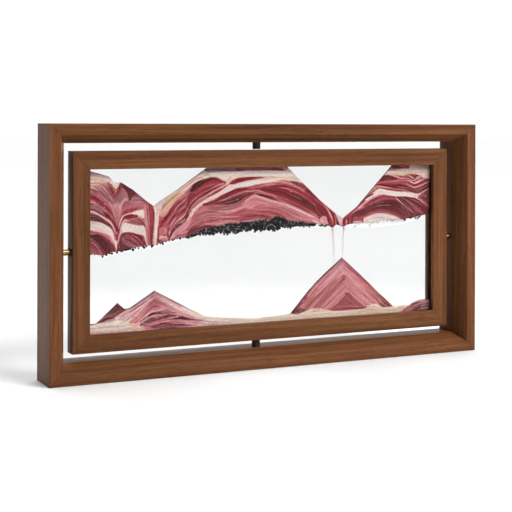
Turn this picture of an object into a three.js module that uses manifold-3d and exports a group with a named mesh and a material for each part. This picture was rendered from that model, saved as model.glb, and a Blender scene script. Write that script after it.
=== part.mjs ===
// Moving sand picture in a standing wooden frame.
// An inner frame holds two panes with coloured sand, bubbles and clear liquid
// between them, and flips about two pins that sit in the outer frame's stiles.
// Millimetres, +Z up, +Y towards the back, origin at the middle of the base.

import * as THREE from 'three';
import { mergeVertices } from 'three/addons/utils/BufferGeometryUtils.js';
import Module from 'manifold-3d';

const wasm = await Module();
wasm.setup();

// ---------------------------------------------------------------- dimensions
// outer frame
const OUT_W = 408;          // overall width
const OUT_H = 210;          // overall height
const OUT_D = 36;           // overall depth
const OUT_FACE = 9;         // width of the flat front face of each bar
const OUT_BAR = 16;         // thickness of each bar behind the splayed edge
const SPLAY_D = 15;         // depth over which the inner edge is splayed
// inner (turning) frame
const IN_W = 362;
const IN_H = 165;
const IN_D = 14;
const IN_BAR = 15;          // face width of each bar
const LIP_D = 4;            // lip in front of and behind the glass
const GROOVE_T = 7;         // solid wood left outside the groove
// pivot
const AXIS_Y = 2;
const AXIS_Z = 105;
const PIN_R = 2.5;
const PIN_IN_STILE = 11;
const PIN_IN_BUSH = 5.2;
const BUSH_R = 3.5;
const BUSH_BORE_R = 2.58;
const BUSH_L = 5.6;
// catch posts, a little left of the middle
const POST_X = -13;
const POST_R = 3.5;
const POST_IN_RAIL = 8;
const POST_TIP_GAP = 0.6;   // air between the post's tip and the inner frame
const MAGNET_R = 2.5;
const MAGNET_H = 2;
const KEEPER_R = 3;
const KEEPER_H = 2;
// sand cell
const PANE_T = 1.6;
const CELL_T = 1.8;         // thickness of the sand layer
const PANE_EDGE = 8;        // inner frame's outside to the pane's edge
const SEAL_W = 3.7;
// clearances
const MITRE_GAP = 0.1;      // each side of a mitre, along the bar
const SEAT_GAP = 0.25;      // round a seated piece
const ROUND = 40;           // sides of a round piece

// ---------------------------------------------------------------- materials
const mat = (color, roughness, metalness = 0, opacity = 1) =>
  new THREE.MeshStandardMaterial({ color, roughness, metalness, opacity, transparent: opacity < 1 });
const WALNUT = () => mat(0x71492f, 0.45);
const SPLINE = () => mat(0xb08a5c, 0.7);
const BRONZE = () => mat(0x8a6a4a, 0.35, 0.9);
const DARK_BRONZE = () => mat(0x3a2a20, 0.45, 0.7);
const NICKEL = () => mat(0xb9bcc0, 0.3, 1);
const NYLON = () => mat(0x191411, 0.55);
const SEALANT = () => mat(0x2b2522, 0.8);
const GLASS = () => mat(0xf4f8f8, 0.03, 0, 0.15);
const LIQUID = () => mat(0xf8fbfc, 0.02, 0, 0.1);
const SAND = (color) => mat(color, 0.9);
const BUBBLE = (color) => mat(color, 0.15);

// ---------------------------------------------------------------- helpers
const root = new THREE.Group();

function put(name, geometry, material) {
  const mesh = new THREE.Mesh(geometry, material);
  mesh.name = name;
  root.add(mesh);
  return mesh;
}

// a closed geometry as a solid, ready to be cut
function solid(geometry) {
  const g = geometry.clone();
  g.deleteAttribute('normal');
  g.deleteAttribute('uv');
  const m = mergeVertices(g, 1e-5);
  return new wasm.Manifold(new wasm.Mesh({
    numProp: 3,
    vertProperties: new Float32Array(m.attributes.position.array),
    triVerts: new Uint32Array(m.index.array),
  }));
}

function geometryOf(body) {
  const mesh = body.getMesh();
  const g = new THREE.BufferGeometry();
  const n = mesh.numProp;
  const count = mesh.vertProperties.length / n;
  const pos = new Float32Array(count * 3);
  for (let i = 0; i < count; i++) {
    for (let k = 0; k < 3; k++) pos[i * 3 + k] = mesh.vertProperties[i * n + k];
  }
  g.setAttribute('position', new THREE.BufferAttribute(pos, 3));
  g.setIndex(new THREE.BufferAttribute(new Uint32Array(mesh.triVerts), 1));
  const flat = g.toNonIndexed();
  flat.computeVertexNormals();
  return flat;
}

function cut(geometry, ...tools) {
  let body = solid(geometry);
  for (const t of tools) body = body.subtract(solid(t));
  return geometryOf(body);
}

function box(x0, x1, y0, y1, z0, z1) {
  const g = new THREE.BoxGeometry(x1 - x0, y1 - y0, z1 - z0);
  g.translate((x0 + x1) / 2, (y0 + y1) / 2, (z0 + z1) / 2);
  return g;
}

// A bar of a mitred frame. The section is drawn as [t, y]: t runs from the
// frame's outside inwards, y towards the back. Both ends are cut at 45 degrees.
// side: 'bottom' | 'top' | 'left' | 'right'; half: half the frame's length along
// the bar; out: where the outside face of the bar lies.
function mitredBar(section, side, half, out, centre) {
  const shape = new THREE.Shape(section.map(([t, y]) => new THREE.Vector2(t, y)));
  const g = new THREE.ExtrudeGeometry(shape, { depth: 1, bevelEnabled: false, steps: 1 });
  const p = g.attributes.position;
  for (let i = 0; i < p.count; i++) {
    const t = p.getX(i), y = p.getY(i);
    const s = p.getZ(i) > 0.5 ? 1 : -1;
    const along = s * (half - t - MITRE_GAP);
    if (side === 'bottom') p.setXYZ(i, centre - along, y, out + t);
    if (side === 'top') p.setXYZ(i, centre + along, y, out - t);
    if (side === 'left') p.setXYZ(i, out + t, y, centre + along);
    if (side === 'right') p.setXYZ(i, out - t, y, centre - along);
  }
  g.computeVertexNormals();
  return g;
}

// round bar along X or Z
function rodX(r, x0, x1, y, z) {
  const g = new THREE.CylinderGeometry(r, r, x1 - x0, ROUND);
  g.rotateZ(Math.PI / 2);
  g.translate((x0 + x1) / 2, y, z);
  return g;
}

function rodZ(r, z0, z1, x, y) {
  const g = new THREE.CylinderGeometry(r, r, z1 - z0, ROUND);
  g.rotateX(Math.PI / 2);
  g.translate(x, y, (z0 + z1) / 2);
  return g;
}

// turned piece: profile [radius, height] about the height axis, laid along X or Z
function turned(profile, axis, x, y, z) {
  const g = new THREE.LatheGeometry(profile.map(([r, h]) => new THREE.Vector2(r, h)), ROUND);
  if (axis === 'x') g.rotateZ(-Math.PI / 2);
  if (axis === '-x') g.rotateZ(Math.PI / 2);
  if (axis === 'z') g.rotateX(Math.PI / 2);
  if (axis === '-z') g.rotateX(-Math.PI / 2);
  g.translate(x, y, z);
  return g;
}

// flat piece in the sand cell: outline of [x, z] points, thickness CELL_T
function slab(points, thickness = CELL_T, holes = []) {
  const shape = new THREE.Shape(points.map(([x, z]) => new THREE.Vector2(x, z)));
  for (const h of holes) shape.holes.push(new THREE.Path(h.map(([x, z]) => new THREE.Vector2(x, z))));
  const g = new THREE.ExtrudeGeometry(shape, { depth: thickness, bevelEnabled: false, steps: 1 });
  g.rotateX(Math.PI / 2);
  g.translate(0, AXIS_Y + thickness / 2, 0);
  return g;
}

function area(points) {
  let a = 0;
  for (let i = 0; i < points.length; i++) {
    const [x0, y0] = points[i], [x1, y1] = points[(i + 1) % points.length];
    a += x0 * y1 - x1 * y0;
  }
  return a / 2;
}

// outline grown by d on every side
function grown(points, d) {
  const pts = area(points) > 0 ? points : [...points].reverse();
  const n = pts.length;
  return pts.map((p, i) => {
    const a = pts[(i + n - 1) % n], b = pts[(i + 1) % n];
    const l0 = Math.hypot(p[0] - a[0], p[1] - a[1]), l1 = Math.hypot(b[0] - p[0], b[1] - p[1]);
    const mx = (p[1] - a[1]) / l0 + (b[1] - p[1]) / l1;
    const mz = -(p[0] - a[0]) / l0 - (b[0] - p[0]) / l1;
    const len = Math.hypot(mx, mz);
    const s = Math.min(2.2 * d, 2 * d / len);
    return [p[0] + mx / len * s, p[1] + mz / len * s];
  });
}

// ---------------------------------------------------------------- outer frame
const oy0 = -OUT_D / 2, oy1 = OUT_D / 2;
const outerSection = [
  [0, oy0], [OUT_FACE, oy0], [OUT_BAR, oy0 + SPLAY_D], [OUT_BAR, oy1], [0, oy1],
];
const OX = OUT_W / 2;

// splines that lie across the mitres, hidden in the wood
function cornerKey(sx, sz, cx, cz, length, thick, y0, y1, grow = 0) {
  const g = new THREE.BoxGeometry(length + 2 * grow, y1 - y0 + 2 * grow, thick + 2 * grow);
  g.rotateY(sx * sz * Math.PI / 4);
  g.translate(cx, (y0 + y1) / 2, cz);
  return g;
}
const OKEY = { d: 8, l: 13, t: 3, y0: 2, y1: 14 };
const corners = { tl: [-1, 1], tr: [1, 1], bl: [-1, -1], br: [1, -1] };
const outerKey = (c, grow) => {
  const [sx, sz] = corners[c];
  return cornerKey(sx, sz, sx * (OX - OKEY.d), sz > 0 ? OUT_H - OKEY.d : OKEY.d,
    OKEY.l, OKEY.t, OKEY.y0, OKEY.y1, grow);
};

const postTopTip = AXIS_Z + IN_H / 2 + POST_TIP_GAP;
const postBottomTip = AXIS_Z - IN_H / 2 - POST_TIP_GAP;
const topFlat = OUT_H - OUT_BAR, bottomFlat = OUT_BAR;
const sideFlat = OX - OUT_BAR;

put('outer_top_rail', cut(
  mitredBar(outerSection, 'top', OX, OUT_H, 0),
  rodZ(POST_R + SEAT_GAP, topFlat - 2, topFlat + POST_IN_RAIL + SEAT_GAP, POST_X, AXIS_Y),
  outerKey('tl', SEAT_GAP), outerKey('tr', SEAT_GAP)), WALNUT());
put('outer_bottom_rail', cut(
  mitredBar(outerSection, 'bottom', OX, 0, 0),
  rodZ(POST_R + SEAT_GAP, bottomFlat - POST_IN_RAIL - SEAT_GAP, bottomFlat + 2, POST_X, AXIS_Y),
  outerKey('bl', SEAT_GAP), outerKey('br', SEAT_GAP)), WALNUT());
put('outer_left_stile', cut(
  mitredBar(outerSection, 'left', OUT_H / 2, -OX, OUT_H / 2),
  rodX(PIN_R + SEAT_GAP, -sideFlat - PIN_IN_STILE - SEAT_GAP, -sideFlat + 2, AXIS_Y, AXIS_Z),
  outerKey('tl', SEAT_GAP), outerKey('bl', SEAT_GAP)), WALNUT());
put('outer_right_stile', cut(
  mitredBar(outerSection, 'right', OUT_H / 2, OX, OUT_H / 2),
  rodX(PIN_R + SEAT_GAP, sideFlat - 2, sideFlat + PIN_IN_STILE + SEAT_GAP, AXIS_Y, AXIS_Z),
  outerKey('tr', SEAT_GAP), outerKey('br', SEAT_GAP)), WALNUT());
for (const c of Object.keys(corners)) put(`outer_corner_key_${c}`, outerKey(c, 0), SPLINE());

// pivot pins, chamfered at both ends; profile along the pin from the stile inwards
const pinStart = sideFlat + PIN_IN_STILE;             // distance from the middle
const pinEnd = IN_W / 2 - PIN_IN_BUSH;
const pinL = pinStart - pinEnd;
const pinProfile = [[0, 0], [PIN_R - 0.5, 0], [PIN_R, 0.5], [PIN_R, pinL - 0.5], [PIN_R - 0.5, pinL], [0, pinL]];
put('left_pivot_pin', turned(pinProfile, 'x', -pinStart, AXIS_Y, AXIS_Z), BRONZE());
put('right_pivot_pin', turned(pinProfile, '-x', pinStart, AXIS_Y, AXIS_Z), BRONZE());

// catch posts: bottom of the profile is the tip, with a seat for its magnet
const postL = (topFlat + POST_IN_RAIL) - postTopTip;
const seatR = MAGNET_R + SEAT_GAP, seatH = MAGNET_H + SEAT_GAP;
const postProfile = [
  [0, seatH], [seatR, seatH], [seatR, 0], [POST_R - 0.3, 0], [POST_R, 0.3],
  [POST_R, postL - 0.4], [POST_R - 0.4, postL], [0, postL],
];
put('top_catch_post', turned(postProfile, 'z', POST_X, AXIS_Y, postTopTip), DARK_BRONZE());
put('bottom_catch_post', turned(postProfile, '-z', POST_X, AXIS_Y, postBottomTip), DARK_BRONZE());
put('top_post_magnet', rodZ(MAGNET_R, postTopTip, postTopTip + MAGNET_H, POST_X, AXIS_Y), NICKEL());
put('bottom_post_magnet', rodZ(MAGNET_R, postBottomTip - MAGNET_H, postBottomTip, POST_X, AXIS_Y), NICKEL());

// ---------------------------------------------------------------- inner frame
const iy0 = AXIS_Y - IN_D / 2, iy1 = AXIS_Y + IN_D / 2;
const innerSection = [
  [0, iy0], [IN_BAR, iy0], [IN_BAR, iy0 + LIP_D], [GROOVE_T, iy0 + LIP_D],
  [GROOVE_T, iy1 - LIP_D], [IN_BAR, iy1 - LIP_D], [IN_BAR, iy1], [0, iy1],
];
const IX = IN_W / 2;
const izTop = AXIS_Z + IN_H / 2, izBottom = AXIS_Z - IN_H / 2;
const IKEY = { d: 3.7, l: 6, t: 1.8, y0: AXIS_Y - 5, y1: AXIS_Y + 5 };
const innerKey = (c, grow) => {
  const [sx, sz] = corners[c];
  return cornerKey(sx, sz, sx * (IX - IKEY.d), sz > 0 ? izTop - IKEY.d : izBottom + IKEY.d,
    IKEY.l, IKEY.t, IKEY.y0, IKEY.y1, grow);
};

put('inner_top_rail', cut(
  mitredBar(innerSection, 'top', IX, izTop, 0),
  rodZ(KEEPER_R + SEAT_GAP, izTop - KEEPER_H - SEAT_GAP, izTop + 2, POST_X, AXIS_Y),
  innerKey('tl', SEAT_GAP), innerKey('tr', SEAT_GAP)), WALNUT());
put('inner_bottom_rail', cut(
  mitredBar(innerSection, 'bottom', IX, izBottom, 0),
  rodZ(KEEPER_R + SEAT_GAP, izBottom - 2, izBottom + KEEPER_H + SEAT_GAP, POST_X, AXIS_Y),
  innerKey('bl', SEAT_GAP), innerKey('br', SEAT_GAP)), WALNUT());
put('inner_left_stile', cut(
  mitredBar(innerSection, 'left', IN_H / 2, -IX, AXIS_Z),
  rodX(BUSH_R + SEAT_GAP, -IX - 2, -IX + BUSH_L + SEAT_GAP, AXIS_Y, AXIS_Z),
  innerKey('tl', SEAT_GAP), innerKey('bl', SEAT_GAP)), WALNUT());
put('inner_right_stile', cut(
  mitredBar(innerSection, 'right', IN_H / 2, IX, AXIS_Z),
  rodX(BUSH_R + SEAT_GAP, IX - BUSH_L - SEAT_GAP, IX + 2, AXIS_Y, AXIS_Z),
  innerKey('tr', SEAT_GAP), innerKey('br', SEAT_GAP)), WALNUT());
for (const c of Object.keys(corners)) put(`inner_corner_key_${c}`, innerKey(c, 0), SPLINE());

// bushes: a sleeve pressed into the side of each stile, flush with the wood
const bushProfile = [
  [BUSH_BORE_R + 0.3, 0], [BUSH_R - 0.2, 0], [BUSH_R, 0.2], [BUSH_R, BUSH_L], [BUSH_BORE_R, BUSH_L],
  [BUSH_BORE_R, 0.3], [BUSH_BORE_R + 0.3, 0],
];
put('left_pivot_bush', turned(bushProfile, 'x', -IX, AXIS_Y, AXIS_Z), NYLON());
put('right_pivot_bush', turned(bushProfile, '-x', IX, AXIS_Y, AXIS_Z), NYLON());

put('top_keeper_magnet', rodZ(KEEPER_R, izTop - KEEPER_H, izTop, POST_X, AXIS_Y), NICKEL());
put('bottom_keeper_magnet', rodZ(KEEPER_R, izBottom, izBottom + KEEPER_H, POST_X, AXIS_Y), NICKEL());

// ---------------------------------------------------------------- glass cell
const px = IX - PANE_EDGE, pz = IN_H / 2 - PANE_EDGE;
const cellFront = AXIS_Y - CELL_T / 2, cellBack = AXIS_Y + CELL_T / 2;
put('front_glass', box(-px, px, cellFront - SEAT_GAP - PANE_T, cellFront - SEAT_GAP, AXIS_Z - pz, AXIS_Z + pz), GLASS());
put('rear_glass', box(-px, px, cellBack + SEAT_GAP, cellBack + SEAT_GAP + PANE_T, AXIS_Z - pz, AXIS_Z + pz), GLASS());

// spacer strips that seal the cell, butted at the corners
const sx1 = px - 0.3, sx0 = sx1 - SEAL_W, sz1 = pz - 0.3, sz0 = sz1 - SEAL_W;
put('seal_top', box(-sx1, sx1, cellFront, cellBack, AXIS_Z + sz0, AXIS_Z + sz1), SEALANT());
put('seal_bottom', box(-sx1, sx1, cellFront, cellBack, AXIS_Z - sz1, AXIS_Z - sz0), SEALANT());
put('seal_left', box(-sx1, -sx0, cellFront, cellBack, AXIS_Z - sz0 + 0.25, AXIS_Z + sz0 - 0.25), SEALANT());
put('seal_right', box(sx0, sx1, cellFront, cellBack, AXIS_Z - sz0 + 0.25, AXIS_Z + sz0 - 0.25), SEALANT());

// ---------------------------------------------------------------- sand, bubbles, liquid
// outlines as [x, z]
const EX = sx0 - 1.0;                 // sand ends here, left and right
const ZT = AXIS_Z + sz0 - 1.0;        // and here, top and bottom
const ZB = AXIS_Z - sz0 + 1.0;

const upperTop = [
  [-EX, 172.1], [-148.2, 166.4], [-143.0, 161.6], [-137.3, 161.2], [-127.2, 155.1], [-116.6, 146.6],
  [-108.5, 140.9], [-103.2, 144.7], [-88.7, 153.3], [-61.2, 171.7], [-57.5, ZT], [14.9, ZT],
  [33.5, 157.2], [50.7, 141.5], [66.0, 129.9], [73.9, 125.4], [87.8, 135.0], [124.4, 171.7], [127.2, ZT], [EX, ZT],
];
const upperLow = [
  [-EX, 103.4], [-153.2, 100.9], [-145.4, 103.8], [-141.1, 103.3], [-136.7, 105.1], [-120.9, 107.0],
  [-107.5, 108.2], [-98.5, 110.3], [-84.9, 113.2], [-75.8, 115.4], [-66.6, 118.1], [-52.6, 120.6],
  [-43.2, 122.9], [-29.0, 124.8], [-7.8, 126.5], [7.8, 128.8], [19.7, 124.7], [29.6, 123.6], [44.7, 121.8],
  [56.9, 119.7], [62.7, 116.8], [67.1, 119.8], [73.3, 117.3], [80.5, 119.8], [106.8, 119.9], [133.5, 120.9],
  [137.8, 121.7], [144.3, 123.8], [EX, 126.6],
];
// a raft of bubbles that hangs under the upper sand: stations [x, depth]
const along = (line, x) => {
  for (let i = 1; i < line.length; i++) {
    const [x0, v0] = line[i - 1], [x1, v1] = line[i];
    if (x >= x0 && x <= x1) return v0 + (v1 - v0) * (x - x0) / (x1 - x0);
  }
  return line[line.length - 1][1];
};
const raft = (stations) => {
  const first = stations[0][0], last = stations[stations.length - 1][0];
  const xs = [...stations, ...upperLow].map(([x]) => x)
    .filter((x) => x >= first && x <= last).sort((u, v) => u - v)
    .filter((x, i, all) => i === 0 || x - all[i - 1] > 0.01);
  const top = xs.map((x) => [x, along(upperLow, x) - 0.5]);
  const low = xs.map((x) => [x, along(upperLow, x) - 0.5 - along(stations, x)]);
  return [...top, ...low.reverse()];
};

const outlines = {
  upper_sand: [...upperTop, ...[...upperLow].reverse()],
  bubbles_left: raft([[-153.2, 1.6], [-145.4, 1.8], [-136.7, 1.8], [-120.9, 1.8], [-107.5, 1.8], [-98.5, 1.6], [-84.9, 1.4]]),
  bubbles_middle: raft([[-77, 1.2], [-66.6, 2.4], [-52.6, 4.0], [-43.2, 6.0], [-29, 8.0], [-7.8, 8.8], [7.8, 11.8],
    [19.7, 6.4], [29.6, 4.4], [44.7, 3.0], [56.5, 1.6]]),
  bubbles_right: raft([[77.5, 1.6], [80.5, 2.6], [106.8, 3.2], [133.5, 3.0], [137.8, 3.0], [144.3, 3.0], [158, 2.4]]),
  sand_stream_left: [[62.2, 115.9], [63.2, 115.9], [64.6, 84.4], [63.6, 83.6]],
  sand_stream_right: [[73.2, 116.4], [74.3, 116.6], [73.2, 90.4], [72.1, 90.4]],
  lower_sand_dune: [[-EX, ZB], [-61.0, ZB], [-61.0, 45.7], [-72.8, 51.4], [-88.4, 59.6], [-107.5, 69.8],
    [-129.6, 56.4], [-133.9, 56.0], [-140.3, 61.4], [-158.5, 45.5], [-EX, 45.3]],
  lower_sand_bed: [[-60.5, ZB], [131.4, ZB], [145.0, 43.2], [125.0, 42.3], [22.4, 42.3], [15.0, 41.7], [-14.3, 40.7],
    [-47.7, 43.5], [-60.5, 45.3]],
  lower_sand_cone: [[21.3, 42.8], [126.8, 42.8], [118.5, 50.0], [109.0, 58.0], [100.4, 66.0], [91.4, 74.0], [82.1, 82.0],
    [72.7, 89.8], [57.2, 78.0], [47.5, 70.0], [38.9, 62.0], [31.3, 54.0], [24.9, 47.0]],
  lower_sand_bank: [[132.2, ZB], [EX, ZB], [EX, 47.4], [156.6, 47.2], [150.1, 45.9]],
};
const colours = {
  upper_sand: SAND(0x9c4a50), bubbles_left: BUBBLE(0x1f2024), bubbles_middle: BUBBLE(0x18191c),
  bubbles_right: BUBBLE(0xd8d8dc), sand_stream_left: SAND(0xc98f90), sand_stream_right: SAND(0xc98f90),
  lower_sand_dune: SAND(0xa05a5c), lower_sand_bed: SAND(0xdcc6b0), lower_sand_cone: SAND(0x93474d),
  lower_sand_bank: SAND(0x96566a),
};
for (const [name, pts] of Object.entries(outlines)) {
  put(name, slab(area(pts) > 0 ? pts : [...pts].reverse()), colours[name]);
}

// the clear liquid fills the rest of the cell
const lx = sx0 - 0.3, lz = sz0 - 0.3;
let liquid = solid(box(-lx, lx, cellFront, cellBack, AXIS_Z - lz, AXIS_Z + lz));
for (const pts of Object.values(outlines)) {
  liquid = liquid.subtract(solid(slab(grown(pts, 0.25), CELL_T + 2)));
}
put('clear_liquid', geometryOf(liquid), LIQUID());

export default root;
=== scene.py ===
"""Looks of the moving sand frame: two walnut frames, one turning inside the other on two pins, and a sealed cell of sand."""

import math

import bmesh
import bpy
import numpy as np
from mathutils import Matrix, Vector
from mathutils.geometry import delaunay_2d_cdt
from mathutils.kdtree import KDTree


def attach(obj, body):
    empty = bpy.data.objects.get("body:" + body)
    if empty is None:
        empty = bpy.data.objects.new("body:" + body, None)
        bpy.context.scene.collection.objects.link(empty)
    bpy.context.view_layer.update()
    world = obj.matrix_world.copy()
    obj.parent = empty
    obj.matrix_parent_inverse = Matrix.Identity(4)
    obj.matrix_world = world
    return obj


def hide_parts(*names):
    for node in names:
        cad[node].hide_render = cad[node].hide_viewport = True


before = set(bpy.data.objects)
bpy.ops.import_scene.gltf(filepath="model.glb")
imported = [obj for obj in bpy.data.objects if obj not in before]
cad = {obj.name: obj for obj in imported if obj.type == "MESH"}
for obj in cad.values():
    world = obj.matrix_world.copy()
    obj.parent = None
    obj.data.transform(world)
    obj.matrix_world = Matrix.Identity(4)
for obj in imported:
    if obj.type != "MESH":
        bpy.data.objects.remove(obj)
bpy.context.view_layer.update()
scene = bpy.context.scene
MM = 0.001

# ------------------------------------------------------------------ camera

LENS = 88.99            # on a 36 mm sensor
YAW = 25.583            # degrees to the right of +Y
ROLL = 0.1715
EYE = (-0.48971, -0.99356, 0.21076)
SHIFT = (-0.00078, -0.25968)

cam_data = bpy.data.cameras.new("camera")
cam_data.lens, cam_data.sensor_width, cam_data.sensor_fit = LENS, 36.0, "HORIZONTAL"
cam_data.shift_x, cam_data.shift_y = SHIFT
cam_data.clip_start, cam_data.clip_end = 0.05, 60.0
camera = bpy.data.objects.new("camera", cam_data)
scene.collection.objects.link(camera)
camera.matrix_world = (
    Matrix.Translation(EYE)
    @ Matrix.Rotation(math.radians(-YAW), 4, "Z")
    @ Matrix.Rotation(math.radians(90), 4, "X")
    @ Matrix.Rotation(math.radians(ROLL), 4, "Z")
)
scene.camera = camera
scene.view_settings.view_transform = "Standard"
scene.view_settings.look = "None"
scene.cycles.transparent_max_bounces = 32


# ------------------------------------------------------------------ node helpers

class Graph:
    """A material and short names for making its nodes."""

    def __init__(self, name):
        self.mat = bpy.data.materials.new(name)
        self.mat.use_nodes = True
        self.tree = self.mat.node_tree
        self.tree.nodes.clear()
        self.out = self.tree.nodes.new("ShaderNodeOutputMaterial")

    def add(self, kind, ins=None, **props):
        n = self.tree.nodes.new("ShaderNode" + kind)
        for k, v in props.items():
            setattr(n, k, v)
        for k, v in (ins or {}).items():
            if isinstance(v, bpy.types.NodeSocket):
                self.tree.links.new(v, n.inputs[k])
            else:
                n.inputs[k].default_value = v
        return n

    def math(self, op, a, b=0.0, c=0.0, clamp=False):
        return self.add("Math", {0: a, 1: b, 2: c}, operation=op, use_clamp=clamp).outputs[0]

    def place(self):
        return self.add("TexCoord").outputs["Object"]

    def stretch(self, v, scale, at=(0, 0, 0)):
        return self.add("Mapping", {"Vector": v, "Location": at, "Scale": scale}).outputs[0]

    def noise(self, v, scale=1.0, detail=2.0, rough=0.5, distort=0.0):
        return self.add("TexNoise", {"Vector": v, "Scale": scale, "Detail": detail, "Roughness": rough, "Distortion": distort}).outputs["Fac"]

    def ramp(self, fac, stops, interp="LINEAR"):
        n = self.add("ValToRGB", {"Fac": fac})
        r = n.color_ramp
        r.interpolation = interp
        while len(r.elements) < len(stops):
            r.elements.new(0.5)
        for e, (at, col) in zip(r.elements, stops):
            e.position = at
            e.color = (*col, 1.0) if hasattr(col, "__len__") else (col, col, col, 1.0)
        return n.outputs["Color"]

    def mix(self, fac, a, b, blend="MIX"):
        n = self.add("Mix", data_type="RGBA", blend_type=blend)
        for i, v in ((0, fac), (6, a), (7, b)):
            if isinstance(v, bpy.types.NodeSocket):
                self.tree.links.new(v, n.inputs[i])
            else:
                n.inputs[i].default_value = v if i == 0 else (*v, 1.0)
        return n.outputs[2]

    def span(self, v, lo, hi, to_lo, to_hi):
        return self.add("MapRange", {"Value": v, "From Min": lo, "From Max": hi, "To Min": to_lo, "To Max": to_hi}).outputs[0]

    def bump(self, height, strength, distance, normal=None):
        ins = {"Height": height, "Strength": strength, "Distance": distance}
        if normal is not None:
            ins["Normal"] = normal
        return self.add("Bump", ins).outputs[0]

    def surface(self, **ins):
        names = {k.replace("_", " "): v for k, v in ins.items()}
        p = self.add("BsdfPrincipled", names)
        self.tree.links.new(p.outputs[0], self.out.inputs["Surface"])
        return p


# ------------------------------------------------------------------ materials

def walnut(name, along, at, tone=(1.0, 1.0, 1.0)):
    """Straight-grained walnut under satin lacquer. along is the way that the grain runs, at moves each bar to its own part of the board."""
    g = Graph(name)
    xyz = g.add("SeparateXYZ", {0: g.place()}).outputs
    a, b, c = (xyz[0], xyz[1], xyz[2]) if along == "x" else (xyz[2], xyz[1], xyz[0])
    board = g.add("CombineXYZ", {0: a, 1: b, 2: c}).outputs[0]
    board = g.stretch(board, (1, 1, 1), at)
    # the growth lines wander slowly along the bar
    wander = g.noise(g.stretch(board, (5.0, 22.0, 22.0)), detail=2.0)
    drift = g.math("MULTIPLY", g.math("SUBTRACT", wander, 0.5), 0.011)
    board2 = g.add("VectorMath", {0: board, 1: g.add("CombineXYZ", {0: 0.0, 1: drift, 2: drift}).outputs[0]}, operation="ADD").outputs[0]
    bands = g.noise(g.stretch(board2, (2.6, 210.0, 210.0)), detail=4.0, rough=0.58)
    fibre = g.noise(g.stretch(board2, (24.0, 1500.0, 1500.0)), detail=3.0, rough=0.6)
    pore = g.noise(g.stretch(board2, (110.0, 2300.0, 2300.0)), detail=1.0)
    patch = g.noise(g.stretch(board, (7.0, 30.0, 30.0), (3.1, 0.4, 0.9)), detail=2.0)
    t = tone
    wood = g.ramp(bands, [
        (0.30, (0.066 * t[0], 0.0234 * t[1], 0.0087 * t[2])),
        (0.44, (0.106 * t[0], 0.0397 * t[1], 0.0147 * t[2])),
        (0.56, (0.131 * t[0], 0.0512 * t[1], 0.0193 * t[2])),
        (0.72, (0.176 * t[0], 0.0741 * t[1], 0.0305 * t[2])),
    ])
    wood = g.mix(1.0, wood, g.ramp(fibre, [(0.28, 0.72), (0.5, 1.0), (0.74, 1.22)]), "MULTIPLY")
    wood = g.mix(1.0, wood, g.ramp(patch, [(0.3, (0.90, 0.90, 0.86)), (0.7, (1.10, 1.08, 1.10))]), "MULTIPLY")
    pores = g.ramp(pore, [(0.60, 0.0), (0.70, 1.0)])
    wood = g.mix(g.math("MULTIPLY", pores, 0.55), wood, (0.030, 0.011, 0.005))
    rough = g.math("ADD", g.span(fibre, 0.3, 0.7, 0.33, 0.43), g.math("MULTIPLY", pores, 0.16))
    height = g.math("SUBTRACT", g.math("MULTIPLY", fibre, 0.5), g.math("MULTIPLY", pores, 0.6))
    g.surface(Base_Color=wood, Roughness=rough, Specular_IOR_Level=0.08, Normal=g.bump(height, 0.16, 0.00012))
    return g.mat


def metal(name, dark, light, rough, along="x", worn=(0.0, 0.0, 0.0)):
    """Turned metal: fine lathe lines round the axis, patchy tarnish."""
    g = Graph(name)
    p = g.place()
    lines = (2600.0, 40.0, 40.0) if along == "x" else (40.0, 40.0, 2600.0)
    turned = g.noise(g.stretch(p, lines), detail=3.0, rough=0.65)
    cloud = g.noise(p, scale=420.0, detail=4.0, rough=0.6)
    col = g.ramp(g.math("ADD", g.math("MULTIPLY", cloud, 0.7), g.math("MULTIPLY", turned, 0.3)), [(0.34, dark), (0.62, light)])
    r = g.math("ADD", g.span(cloud, 0.3, 0.7, rough - 0.06, rough + 0.08), g.span(turned, 0.3, 0.7, -0.05, 0.05))
    g.surface(Base_Color=col, Metallic=1.0, Roughness=r, Normal=g.bump(turned, 0.12, 0.00005))
    return g.mat


def plastic(name, dark, light, rough, scale=900.0):
    """Moulded or cured polymer with a faint mottle and a skin of fine bumps."""
    g = Graph(name)
    p = g.place()
    mottle = g.noise(p, scale=scale, detail=4.0, rough=0.6)
    skin = g.noise(p, scale=scale * 6, detail=2.0)
    g.surface(Base_Color=g.ramp(mottle, [(0.35, dark), (0.65, light)]), Roughness=g.span(mottle, 0.3, 0.7, rough - 0.07, rough + 0.07), Normal=g.bump(skin, 0.1, 0.00004))
    return g.mat


def pane_glass(name, outer_is_low_y, outer_y):
    """Clear float glass. Only the face that meets air mirrors much; the face on the liquid hardly does."""
    g = Graph(name)
    y = g.add("SeparateXYZ", {0: g.place()}).outputs[1]
    face = g.math("LESS_THAN" if outer_is_low_y else "GREATER_THAN", y, outer_y)
    smear = g.noise(g.place(), scale=26.0, detail=4.0, rough=0.6)
    edge = g.add("LayerWeight", {"Blend": 0.5}).outputs["Facing"]
    fresnel = g.math("ADD", g.math("MULTIPLY", g.math("POWER", edge, 5.0), 0.991), 0.009)      # alike from both sides, so no light is trapped between the panes
    wet = g.math("ADD", g.math("MULTIPLY", face, 0.94), 0.06)
    fac = g.math("MULTIPLY", fresnel, wet)
    mirror = g.add("BsdfGlossy", {"Color": (0.96, 0.98, 0.97, 1), "Roughness": g.span(smear, 0.35, 0.65, 0.015, 0.05)})
    clear = g.add("BsdfTransparent", {"Color": g.ramp(smear, [(0.3, (0.989, 0.991, 0.990)), (0.7, (0.993, 0.995, 0.994))])})
    both = g.add("MixShader", {0: fac, 1: clear.outputs[0], 2: mirror.outputs[0]})
    g.tree.links.new(both.outputs[0], g.out.inputs["Surface"])
    return g.mat


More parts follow.
